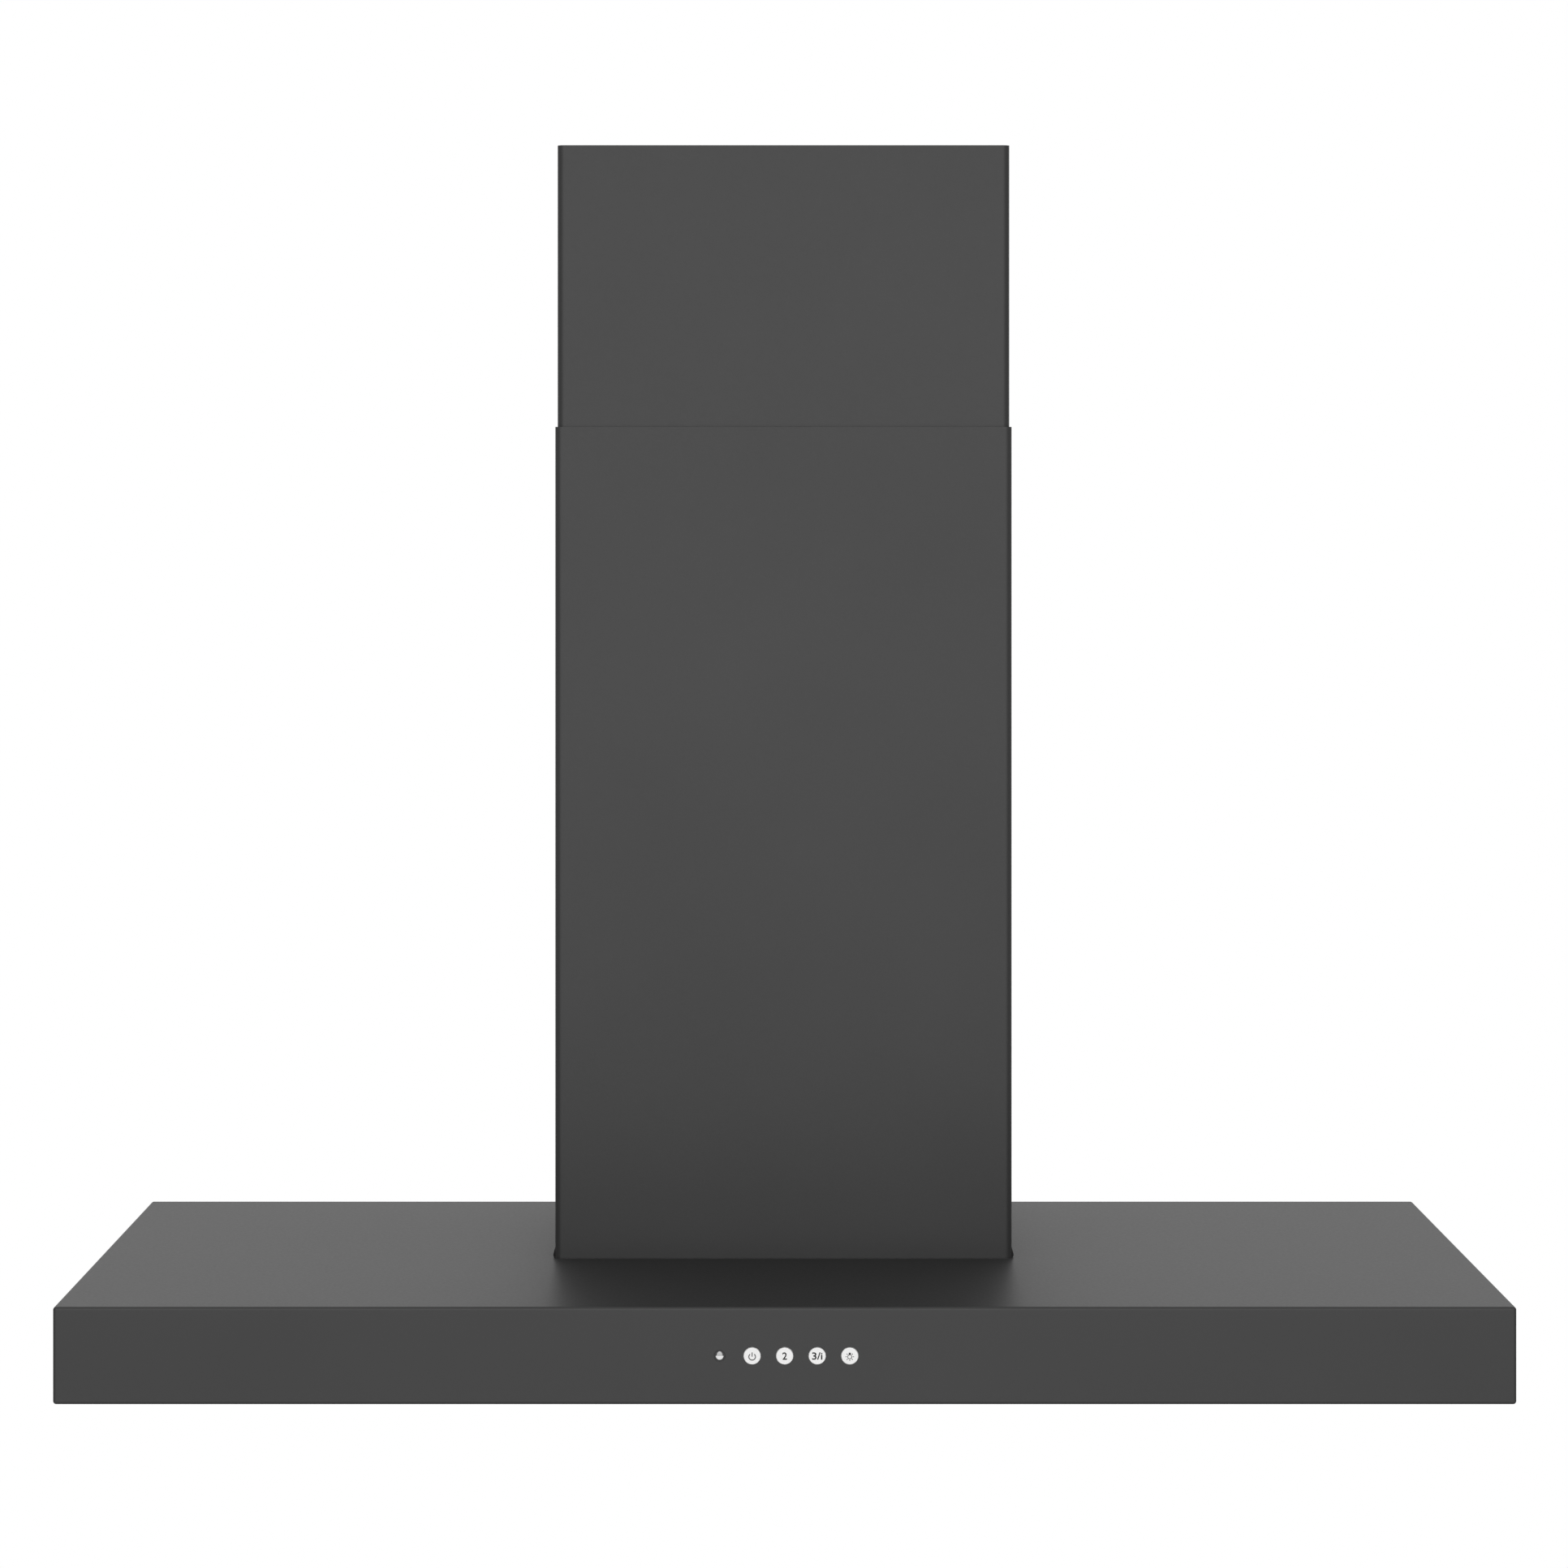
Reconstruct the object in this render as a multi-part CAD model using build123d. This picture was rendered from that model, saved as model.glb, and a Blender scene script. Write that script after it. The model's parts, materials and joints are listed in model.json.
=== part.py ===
"""Wall-hung chimney range hood with baffle filters, a twin-inlet blower and a telescopic chimney.

Millimetres. X runs to the right seen from the front, Y runs into the wall and Z runs up.
The origin is on the wall, at the middle of the hood's lower edge.
"""

import math
import os

from build123d import *

# Canopy
CANOPY_WIDTH = 900.0
CANOPY_DEPTH = 500.0
CANOPY_HEIGHT = 60.0
CANOPY_SHEET = 1.0
CANOPY_BEND = 2.0
RIM_WIDTH = 18.0

# Filter tray
TRAY_RISE = 8.0
TRAY_SHEET = 1.0
TRAY_GAP = 1.5
LAMP_STRIP = 110.0
REAR_STRIP = 34.0
SIDE_STRIP = 25.5

# Baffle filters
FILTER_NAMES = ("left", "middle", "right")
FILTER_HEIGHT = 16.0
FILTER_SHEET = 0.8
FILTER_LIFT = 0.2
FILTER_GAP = 3.0
FILTER_SIDE_GAP = 2.0
FILTER_FLANGE = 12.0
FILTER_FRONT_FLANGE = 40.0
BAFFLE_WIDTH = 22.0
BAFFLE_PITCH = 32.0
BAFFLE_SHEET = 0.6
BAFFLE_LEG = 8.0
BAFFLE_LAP = 6.0

# Filter hinge
PIVOT_SETBACK = 6.0
PIVOT_REACH = 8.0
PIN_RADIUS = 2.0
PIN_PLAY = 0.06
HINGE_INSET = 55.0
HOOK_WIDTH = 14.0
HOOK_WALL = 2.6
HOOK_LIP = 1.0
HOOK_FOOT = 14.0
LUG_SHEET = 2.0
LUG_PLAY = 0.5
LUG_EDGE = 3.0

# Filter latch
LATCH_WIDTH = 36.0
LATCH_SHEET = 2.0
LATCH_REACH = 6.0
LATCH_BODY = 22.0
LATCH_TRAVEL = 8.0
LATCH_PLAY = 0.3
LATCH_GUIDE_WALL = 2.0
PULL_WIDTH = 18.0
PULL_SHEET = 3.0
PULL_DROP = 5.5

# Lamps
LAMP_INSET = 150.0
LAMP_HOLE_RADIUS = 29.0
LAMP_PLAY = 0.2
BEZEL_RADIUS = 34.0
BEZEL_HEIGHT = 2.5
BEZEL_NECK = 6.0
BEZEL_WALL = 3.5
LENS_HEIGHT = 2.0
HOUSING_WALL = 2.0
HOUSING_HEIGHT = 18.0
FIN_COUNT = 7
FIN_SHEET = 1.6
FIN_HEIGHT = 5.0

# Push buttons
CONTROL_HEIGHT = 30.0
BUTTON_NAMES = ("power", "speed_two", "speed_three", "lamp")
BUTTON_PITCH = 20.0
BUTTON_RADIUS = 5.2
BUTTON_PROUD = 0.8
BUTTON_EDGE = 0.5
BUTTON_PLAY = 0.3
BUTTON_FLANGE = 1.2
BUTTON_FLANGE_STEP = 1.4
BUTTON_TRAVEL = 1.2
BUTTON_SEAT = 0.2
STEM_RADIUS = 2.0
STEM_PLAY = 0.1
POCKET_PLAY = 0.4
CARRIER_DEPTH = 13.0
SPRING_ROOM = 2.4
CARRIER_HEIGHT = 24.0
CARRIER_END = 12.0
SWITCH_SIZE = 8.0
SWITCH_DEPTH = 4.0
SWITCH_GAP = 0.2
SWITCH_FLOOR = 0.6
STEM_ENTRY = 1.0
BOARD_SHEET = 1.6
BOSS_RADIUS = 4.0
CONNECTOR_SIZE = 10.0
INDICATOR_RADIUS = 2.5
INDICATOR_RING = 1.0
INDICATOR_RING_DEPTH = 3.0
INDICATOR_PLAY = 0.1

# Chimney
CHIMNEY_WIDTH = 300.0
CHIMNEY_DEPTH = 288.0
CHIMNEY_SHEET = 0.8
CHIMNEY_FRONT_BEND = 4.5
CHIMNEY_REAR_BEND = 2.0
CHIMNEY_RETURN = 14.0
CHIMNEY_GAP = 0.7
LOWER_CHIMNEY_LENGTH = 546.0
UPPER_CHIMNEY_LENGTH = 500.0
UPPER_CHIMNEY_SHOWN = 185.0
SEAL_HEIGHT = 7.0
SEAL_PROUD = 1.3
SEAL_BULGE = 2.2

# Chimney brackets
BRACKET_SHEET = 1.5
BRACKET_RISE = 35.0
BRACKET_FOOT = 22.0
BRACKET_LENGTH = 50.0
BRACKET_SETBACK = 95.0
STUD_RADIUS = 2.0
STUD_LENGTH = 6.5
STUD_PLAY = 0.2
STUD_PITCH = 30.0
STUD_RISE = 20.0
NUT_RADIUS = 3.9
NUT_HEIGHT = 3.2
NUT_PLAY = 0.06

# Ceiling bracket
CEILING_DROP = 3.0
CEILING_HEIGHT = 27.0
CEILING_EAR = 42.0
CEILING_GAP = 0.3
CEILING_EDGE = 3.5
CEILING_BOLT_RADIUS = 2.75
CEILING_BOLT_SPACING = 200.0

# Wall plate
PLATE_SHEET = 1.5
PLATE_GAP = 1.5
PLATE_FOOT = 14.0
BOLT_RADIUS = 4.25
BOLT_EDGE = 9.0
BOLT_LOW = 50.0
BOLT_SPACING = 250.0
BOLT_TOP_EDGE = 20.0

# Blower box
BOX_SIDE_GAP = 40.0
BOX_FRONT_GAP = 28.0
BOX_SHEET = 1.0
BOX_FOOT = 12.0
BOX_REAR_FLANGE = 8.0
BOX_FRONT_FLANGE = 11.0
BOX_FOOT_SETBACK = 5.0
SUCTION_MARGIN = 6.0

# Fan scroll
SCROLL_WALL = 2.0
SCROLL_GAP = 6.0
SCROLL_FLOOR_GAP = 8.0
SCROLL_SIDE_GAP = 50.0
SCROLL_STEP = 10.0
SCROLL_RISE = 150.0
TONGUE_ANGLE = 60.0
SCROLL_LUG_RADIUS = 6.0
SCROLL_LUG_LENGTH = 8.0
SCROLL_LUG_SINK = 1.0
OUTLET_FLANGE = 12.0
OUTLET_FLANGE_SHEET = 3.0
OUTLET_SCREW_INSET = 14.0
INLET_STEP = 12.0
INLET_FLANGE = 12.0
INLET_LIP = 3.0
INLET_PLAY = 0.2
INLET_SCREW_ANGLES = (90, 210, 330)

# Impeller
FAN_TIP_GAP = 10.0
FAN_SIDE_GAP = 4.0
BLADE_COUNT = 36
BLADE_DEPTH = 17.0
BLADE_SHEET = 1.2
BLADE_SWEEP = 12.0
BLADE_CAMBER = 3.0
FAN_DISC = 2.0
FAN_RING = 4.0
FAN_RING_SHEET = 2.0
HUB_RADIUS = 10.0
HUB_LENGTH = 16.0

# Motor
MOTOR_RADIUS = 42.0
MOTOR_WALL = 2.0
MOTOR_CAP = 10.0
MOTOR_FAN_GAP = 7.0
SHAFT_RADIUS = 4.0
SHAFT_PLAY = 0.05
BEARING_RADIUS = 11.0
BEARING_WIDTH = 7.0
BEARING_BOSS = 3.0
STATOR_PLAY = 0.3
STATOR_DEPTH = 14.0
AIR_GAP = 0.5
STACK_INSET = 4.0
SPIDER_SHEET = 2.0
SPIDER_ARM = 16.0
SPIDER_BORE = 14.0
SPIDER_EDGE = 6.0
SPIDER_SCREW_STEP = 10.0
SPIDER_ARM_ANGLES = (0, 120, 240)
SPIDER_SCREW_ANGLES = (90, 210, 330)
MOTOR_SCREW_ANGLES = (30, 150, 270)
MOTOR_SHAFT_HOLE = 6.0
GROMMET_RADIUS = 6.0
GROMMET_HEIGHT = 3.0

# Outlet collar
COLLAR_RADIUS = 74.5
COLLAR_WALL = 2.0
COLLAR_LENGTH = 50.0
COLLAR_SHIFT = 25.0
COLLAR_FLANGE = 3.0
COLLAR_FLANGE_EDGE = 4.0
TRANSITION = 36.0

# Back-draught damper
DAMPER_RISE = 12.0
FLAP_GAP = 1.5
FLAP_SHEET = 1.0
FLAP_STEP = 0.5
KNUCKLE_RADIUS = 3.2
KNUCKLE_LENGTH = 30.0
KNUCKLE_GAP = 0.5
KNUCKLE_COUNT = 4
DAMPER_PIN_RADIUS = 1.5
DAMPER_PIN_PLAY = 0.06
DAMPER_PIN_INSET = 0.5
LEDGE_WIDTH = 2.5
LEDGE_HEIGHT = 2.0
LEDGE_GAP = 0.2

# Control case
CASE_DEPTH = 28.0
CASE_WALL = 2.0
CASE_LENGTH = 110.0
CASE_HEIGHT = 150.0
CASE_LIFT = 15.0
CASE_SHIFT = 25.0
LID_SHEET = 2.0
CASE_POST_RADIUS = 4.5
TERMINAL_DEPTH = 12.0
TERMINAL_LENGTH = 60.0
TERMINAL_HEIGHT = 18.0
TERMINAL_POLES = 5
TERMINAL_HOLE_RADIUS = 2.2
TERMINAL_HOLE_DEPTH = 5.0
GLAND_RADIUS = 9.0
GLAND_HEX = 5.0
GLAND_CAP_RADIUS = 7.0
GLAND_LIP = 1.0
GLAND_CAP = 9.0
GLAND_NECK_RADIUS = 6.0
GLAND_NECK = 8.0
GLAND_BORE = 4.0
GLAND_PLAY = 0.1

# Capacitor
CAPACITOR_RADIUS = 15.0
CAPACITOR_LENGTH = 60.0
CAPACITOR_STANDOFF = 2.0
CLIP_PLAY = 0.1
CLIP_SHEET = 1.5
CLIP_HEIGHT = 12.0

# Wiring
LEAD_RADIUS = 2.5
LEAD_HOLE_PLAY = 0.4
LEAD_ARC_SHARE = 0.45
LAMP_LEAD_HEIGHT = 24.0
CONTROL_LEAD_SETBACK = 70.0

# Points of the leads between their ends
LAMP_LEAD_ROUTE = [
    (247, -445, 24),
    (212, -450, 16),
    (165, -459, 11.7),
    (115, -457, 11.7),
    (84, -463, 17),
    (61, -475.2, 30),
]
CONTROL_LEAD_ROUTE = [
    (0, -446, 30),
    (3, -424, 40),
    (10, -388, 51),
    (24, -338, 50),
    (43, -290, 51),
    (62, -246, 50.5),
    (76, -210, 66),
    (82, -192, 100),
    (80, -189.1, 138),
    (80, -189.1, 165),
    (84.5, -189.1, 180),
    (95.5, -189.1, 189.6),
]
MOTOR_LEAD_ROUTE = [
    (70, -119.1, 189.6),
    (84.5, -119.1, 185.6),
    (98.5, -119.1, 189.6),
]

# Clips under the canopy's top, on the runs that end at these points of the control lead
LEAD_CLIP_POINTS = (3, 5)
LEAD_CLIP_WALL = 1.6
LEAD_CLIP_LENGTH = 10.0
LEAD_CLIP_WEB = 4.0
LEAD_CLIP_FOOT = (8.0, 16.0)
LEAD_CLIP_SHEET = 1.5

# Screws
SCREW_RADIUS = 2.0
SCREW_PLAY = 0.2
SCREW_HEAD_RADIUS = 3.2
SCREW_HEAD_HEIGHT = 2.2
SCREW_HEAD_EDGE = 0.9
SCREW_CROSS = 3.4
SCREW_CROSS_WIDTH = 0.8
SCREW_CROSS_DEPTH = 1.0
SCREW_PAST = 3.0

# Extra length of a cutting tool past the face it cuts
CUT = 5.0

# Places that follow from the sizes above
HALF_WIDTH = CANOPY_WIDTH / 2
FRONT = -CANOPY_DEPTH
INNER_HALF = HALF_WIDTH - CANOPY_SHEET
INNER_FRONT = FRONT + CANOPY_SHEET
INNER_TOP = CANOPY_HEIGHT - CANOPY_SHEET

TRAY_TOP = TRAY_RISE + TRAY_SHEET
OPENING_HALF = HALF_WIDTH - SIDE_STRIP
OPENING_FRONT = FRONT + LAMP_STRIP
OPENING_REAR = -REAR_STRIP

PIVOT_Y = OPENING_REAR - PIVOT_SETBACK
FILTER_REAR = PIVOT_Y - PIVOT_REACH
FILTER_FRONT = OPENING_FRONT + FILTER_SIDE_GAP
FILTER_BOTTOM = TRAY_RISE + FILTER_LIFT
FILTER_TOP = FILTER_BOTTOM + FILTER_HEIGHT
PIVOT_Z = FILTER_BOTTOM + FILTER_HEIGHT / 2
FILTER_COUNT = len(FILTER_NAMES)
FILTER_ROOM = 2 * (OPENING_HALF - FILTER_SIDE_GAP) - (FILTER_COUNT - 1) * FILTER_GAP
FILTER_WIDTH = FILTER_ROOM / FILTER_COUNT
LATCH_Z = FILTER_BOTTOM + FILTER_SHEET + LATCH_PLAY
LATCH_TOP = LATCH_Z + LATCH_SHEET
PULL_Y = FILTER_FRONT + FILTER_SHEET + LATCH_BODY / 2

LAMP_X = HALF_WIDTH - LAMP_INSET
LAMP_Y = FRONT + LAMP_STRIP / 2
NECK_RADIUS = LAMP_HOLE_RADIUS - LAMP_PLAY
LENS_SEAT_RADIUS = NECK_RADIUS - BEZEL_WALL
HOUSING_TOP = TRAY_TOP + HOUSING_HEIGHT

CARRIER_BACK = INNER_FRONT + CARRIER_DEPTH
SWITCH_FRONT = CARRIER_BACK + SWITCH_GAP
BOARD_FRONT = SWITCH_FRONT + SWITCH_DEPTH
BOARD_BACK = BOARD_FRONT + BOARD_SHEET
FLANGE_FRONT = INNER_FRONT + BUTTON_SEAT
FLANGE_BACK = FLANGE_FRONT + BUTTON_FLANGE
BUTTON_XS = [BUTTON_PITCH * (place - 1) for place in range(len(BUTTON_NAMES))]
INDICATOR_X = BUTTON_XS[0] - BUTTON_PITCH
CARRIER_X = (INDICATOR_X - CARRIER_END, BUTTON_XS[-1] + CARRIER_END)
BOSS_XS = (CARRIER_X[0] + BOSS_RADIUS, CARRIER_X[1] - BOSS_RADIUS)

LOWER_HALF = CHIMNEY_WIDTH / 2
LOWER_TOP = CANOPY_HEIGHT + LOWER_CHIMNEY_LENGTH
UPPER_STEP = CHIMNEY_SHEET + CHIMNEY_GAP
UPPER_HALF = LOWER_HALF - UPPER_STEP
UPPER_TOP = LOWER_TOP + UPPER_CHIMNEY_SHOWN
UPPER_BOTTOM = UPPER_TOP - UPPER_CHIMNEY_LENGTH
LOWER_INSIDE = LOWER_HALF - CHIMNEY_SHEET
UPPER_INSIDE = UPPER_HALF - CHIMNEY_SHEET
UPPER_INSIDE_FRONT = -CHIMNEY_DEPTH + UPPER_STEP + CHIMNEY_SHEET

PLATE_HALF = UPPER_HALF - CHIMNEY_RETURN - PLATE_GAP
BOLT_X = PLATE_HALF - BOLT_EDGE

BOX_HALF = UPPER_INSIDE - BOX_SIDE_GAP
BOX_FRONT = UPPER_INSIDE_FRONT + BOX_FRONT_GAP
BOX_REAR = -PLATE_SHEET
BOX_INSIDE = BOX_HALF - BOX_SHEET
COVER_FRONT = BOX_FRONT - BOX_SHEET

SCROLL_HALF = BOX_INSIDE - SCROLL_SIDE_GAP
SCROLL_ROOM = BOX_REAR - BOX_FRONT - BOX_SHEET - 2 * (SCROLL_GAP + SCROLL_WALL)
SCROLL_MEAN = (SCROLL_ROOM - 3 * SCROLL_STEP) / 2
SCROLL_RADII = [SCROLL_MEAN + SCROLL_STEP * turn for turn in (-1, 0, 1, 2)]
SCROLL_CORNER = SCROLL_STEP / 2
SCROLL_CENTRES = [
    (-SCROLL_CORNER, SCROLL_CORNER),
    (-SCROLL_CORNER, -SCROLL_CORNER),
    (SCROLL_CORNER, -SCROLL_CORNER),
    (SCROLL_CORNER, SCROLL_CORNER),
]
SCROLL_REACH = SCROLL_CORNER + SCROLL_RADII[3]
SCROLL_DROP = SCROLL_CORNER + SCROLL_RADII[2]
FAN_Y = BOX_FRONT + BOX_SHEET + SCROLL_GAP + SCROLL_WALL + SCROLL_REACH
FAN_Z = CANOPY_HEIGHT + SCROLL_FLOOR_GAP + SCROLL_WALL + SCROLL_DROP
TONGUE_U = SCROLL_CENTRES[0][0] + SCROLL_RADII[0] * math.cos(math.radians(TONGUE_ANGLE))
TONGUE_V = SCROLL_CENTRES[0][1] + SCROLL_RADII[0] * math.sin(math.radians(TONGUE_ANGLE))
OUTLET_Y = (FAN_Y - SCROLL_REACH, FAN_Y - TONGUE_U)
BOX_CEILING = FAN_Z + SCROLL_RISE
BOX_TOP = BOX_CEILING + BOX_SHEET
BOLT_ZS = (CANOPY_HEIGHT + BOLT_LOW, CANOPY_HEIGHT + BOLT_LOW + BOLT_SPACING)
PLATE_TOP = BOLT_ZS[1] + BOLT_TOP_EDGE

FAN_RADIUS = SCROLL_RADII[0] - FAN_TIP_GAP
FAN_HALF = SCROLL_HALF - SCROLL_WALL - FAN_SIDE_GAP
INLET_RADIUS = FAN_RADIUS - INLET_STEP
SPIDER_X = SCROLL_HALF + GROMMET_HEIGHT
SPIDER_BOLT_RADIUS = INLET_RADIUS + SPIDER_SCREW_STEP
MOTOR_NEAR = FAN_DISC / 2 + MOTOR_FAN_GAP
CAP_NEAR = SPIDER_X - MOTOR_CAP
STACK_X = (MOTOR_NEAR + MOTOR_WALL + BEARING_WIDTH + STACK_INSET, CAP_NEAR - STACK_INSET)
STATOR_RADIUS = MOTOR_RADIUS - MOTOR_WALL - STATOR_PLAY
ROTOR_RADIUS = STATOR_RADIUS - STATOR_DEPTH - AIR_GAP

COLLAR_Y = sum(OUTLET_Y) / 2 + COLLAR_SHIFT
COLLAR_INSIDE = COLLAR_RADIUS - COLLAR_WALL
COLLAR_BOTTOM = BOX_TOP + COLLAR_FLANGE + TRANSITION
COLLAR_TOP = COLLAR_BOTTOM + COLLAR_LENGTH
DAMPER_Z = COLLAR_BOTTOM + DAMPER_RISE

CASE_X = BOX_HALF + CASE_DEPTH
CASE_Y = (FAN_Y + CASE_SHIFT - CASE_LENGTH, FAN_Y + CASE_SHIFT)
CASE_Z = (FAN_Z + CASE_LIFT - CASE_HEIGHT / 2, FAN_Z + CASE_LIFT + CASE_HEIGHT / 2)
GLAND_X = BOX_HALF + CASE_DEPTH / 2
GLAND_Y = sum(CASE_Y) / 2
CONTROL_LEAD_Y = FAN_Y - CONTROL_LEAD_SETBACK
LEAD_HOLE_RADIUS = LEAD_RADIUS + LEAD_HOLE_PLAY

FAN_PLANE = Plane(origin=(0, FAN_Y, FAN_Z), x_dir=(0, -1, 0), z_dir=(-1, 0, 0))
BASE = (Align.CENTER, Align.CENTER, Align.MIN)
HUNG = (Align.CENTER, Align.CENTER, Align.MAX)


def span(centre, width):
    """Low and high end of a width about a centre."""
    return (centre - width / 2, centre + width / 2)


def both(half):
    """Low and high end of a span about zero."""
    return (-half, half)


def grow(ends, amount):
    """A span made longer by an amount at both ends."""
    return (ends[0] - amount, ends[1] + amount)


def block(x, y, z):
    """Box that fills three spans."""
    middle = Pos((x[0] + x[1]) / 2, (y[0] + y[1]) / 2, (z[0] + z[1]) / 2)
    return middle * Box(x[1] - x[0], y[1] - y[0], z[1] - z[0])


def side_block(side, x, y, z):
    """Box on the right of the middle plane, or its mirror image on the left."""
    ends = sorted((side * x[0], side * x[1]))
    return block(ends, y, z)


def bar(start, end, radius):
    """Round bar between two points."""
    reach = Vector(end) - Vector(start)
    return Plane(origin=start, z_dir=reach) * Cylinder(radius, reach.length, align=BASE)


def fan_bar(x, radius):
    """Round bar along the fan's axis."""
    return bar((x[0], FAN_Y, FAN_Z), (x[1], FAN_Y, FAN_Z), radius)


def fan_point(x, radius, angle):
    """Point at a radius and angle about the fan's axis."""
    turn = math.radians(angle)
    return Vector(x, FAN_Y - radius * math.cos(turn), FAN_Z + radius * math.sin(turn))


def group(pieces):
    """Separate solids kept together in one node."""
    return Compound([solid for piece in pieces for solid in piece.solids()])


def seat(point, outward):
    """Plane on which a screw head or a nut stands."""
    return Plane(origin=point, z_dir=outward)


def drill(part, seats, radius, depth):
    """Cut round holes to both sides of the seats."""
    for place in seats:
        part = part - place * Cylinder(radius, 2 * depth)
    return part


def screw(place, length):
    """Pan-head screw: the head stands on the seat and the shank runs back through it."""
    head = Cylinder(SCREW_HEAD_RADIUS, SCREW_HEAD_HEIGHT, align=BASE)
    head = fillet(head.edges().group_by(Axis.Z)[-1], SCREW_HEAD_EDGE)
    arm = Box(SCREW_CROSS, SCREW_CROSS_WIDTH, 2 * SCREW_CROSS_DEPTH)
    cross = Pos(0, 0, SCREW_HEAD_HEIGHT) * (arm + Rot(0, 0, 90) * arm)
    shank = Cylinder(SCREW_RADIUS, length, align=HUNG)
    return place * (head - cross + shank)


def nut(place):
    """Hexagon nut on a welded stud."""
    prism = extrude(RegularPolygon(NUT_RADIUS, 6), NUT_HEIGHT)
    return place * (prism - Cylinder(STUD_RADIUS + NUT_PLAY, 3 * NUT_HEIGHT))


# Seats of screws and studs


def button_bars(radius, y):
    """Round bars on the button axes."""
    return [bar((x, y[0], CONTROL_HEIGHT), (x, y[1], CONTROL_HEIGHT), radius) for x in BUTTON_XS]


def indicator_bar(radius, y):
    """Round bar on the indicator's axis."""
    return bar((INDICATOR_X, y[0], CONTROL_HEIGHT), (INDICATOR_X, y[1], CONTROL_HEIGHT), radius)


def board_seats():
    """Screws that hold the control board on the carrier's bosses."""
    return [seat((x, BOARD_BACK, CONTROL_HEIGHT), (0, 1, 0)) for x in BOSS_XS]


def bracket_foot_seats():
    """Screws that hold the chimney brackets on the canopy."""
    places = []
    for side in (-1, 1):
        x = side * (LOWER_INSIDE - BRACKET_FOOT / 2)
        for y in span(-BRACKET_SETBACK - BRACKET_LENGTH / 2, STUD_PITCH):
            places.append(seat((x, y, CANOPY_HEIGHT + BRACKET_SHEET), (0, 0, 1)))
    return places


def bracket_stud_seats(depth):
    """Studs on the lower chimney's sides, at a depth in from the side's inner face."""
    places = []
    for side in (-1, 1):
        for y in span(-BRACKET_SETBACK - BRACKET_LENGTH / 2, STUD_PITCH):
            point = (side * (LOWER_INSIDE - depth), y, CANOPY_HEIGHT + STUD_RISE)
            places.append(seat(point, (-side, 0, 0)))
    return places


def ceiling_stud_seats(depth):
    """Studs on the upper chimney's sides, at a depth in from the side's inner face."""
    z = UPPER_TOP - CEILING_DROP - CEILING_HEIGHT / 2
    return [seat((side * (UPPER_INSIDE - depth), -CEILING_EAR / 2, z), (-side, 0, 0)) for side in (-1, 1)]


def plate_foot_seats():
    """Screws that hold the wall plate's foot on the canopy."""
    z = CANOPY_HEIGHT + PLATE_SHEET
    y = -(PLATE_SHEET + PLATE_FOOT) / 2
    return [seat((side * BOX_INSIDE / 2, y, z), (0, 0, 1)) for side in (-1, 1)]


def box_foot_seats():
    """Screws that hold the blower box on the canopy."""
    z = CANOPY_HEIGHT + BOX_SHEET
    places = []
    for side in (-1, 1):
        for y in grow(BOX_FOOT_Y, -2 * BOX_FOOT):
            places.append(seat((side * (BOX_HALF + BOX_FOOT / 2), y, z), (0, 0, 1)))
    return places


def box_rear_seats():
    """Screws that hold the blower box on the wall plate."""
    places = []
    for side in (-1, 1):
        for z in grow(BOX_FLANGE_Z, -2 * BOX_FOOT):
            point = (side * (BOX_HALF + BOX_REAR_FLANGE / 2), BOX_REAR - BOX_SHEET, z)
            places.append(seat(point, (0, -1, 0)))
    return places


def cover_seats():
    """Screws that hold the blower box's front cover."""
    low, high = grow((CANOPY_HEIGHT, BOX_TOP), -2 * BOX_FOOT)
    places = []
    for side in (-1, 1):
        for z in (low, (low + high) / 2, high):
            point = (side * (BOX_HALF - BOX_FRONT_FLANGE / 2), COVER_FRONT, z)
            places.append(seat(point, (0, -1, 0)))
    return places


def outlet_seats():
    """Screws that clamp the collar and the scroll to the blower box's top."""
    x = SCROLL_HALF + OUTLET_FLANGE / 2
    z = BOX_TOP + COLLAR_FLANGE
    ys = grow(OUTLET_Y, -OUTLET_SCREW_INSET)
    return [seat((side * x, y, z), (0, 0, 1)) for side in (-1, 1) for y in ys]


def scroll_lug_points(x):
    """Middles of the lugs that join the scroll halves."""
    points = []
    for turn in (1, 2, 3):
        angle = math.radians(90 * turn + 45)
        reach = SCROLL_RADII[turn] + SCROLL_WALL + SCROLL_LUG_RADIUS - SCROLL_LUG_SINK
        u = SCROLL_CENTRES[turn][0] + reach * math.cos(angle)
        v = SCROLL_CENTRES[turn][1] + reach * math.sin(angle)
        points.append((x, FAN_Y - u, FAN_Z + v))
    return points


def scroll_lug_seats():
    """Screws that join the scroll halves."""
    return [seat(point, (-1, 0, 0)) for point in scroll_lug_points(-SCROLL_LUG_LENGTH)]


def spider_seats():
    """Screws that hold the motor spider on the scroll."""
    x = SPIDER_X + SPIDER_SHEET
    points = [fan_point(x, SPIDER_BOLT_RADIUS, angle) for angle in SPIDER_SCREW_ANGLES]
    return [seat(point, (1, 0, 0)) for point in points]


def motor_seats():
    """Screws that hold the motor on its spider."""
    x = SPIDER_X + SPIDER_SHEET
    radius = (SPIDER_BORE + MOTOR_RADIUS) / 2
    return [seat(fan_point(x, radius, angle), (1, 0, 0)) for angle in MOTOR_SCREW_ANGLES]


def inlet_seats():
    """Screws that hold the inlet ring on the scroll."""
    radius = INLET_RADIUS + INLET_FLANGE / 2
    x = -SCROLL_HALF - INLET_LIP
    return [seat(fan_point(x, radius, angle), (-1, 0, 0)) for angle in INLET_SCREW_ANGLES]


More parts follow.
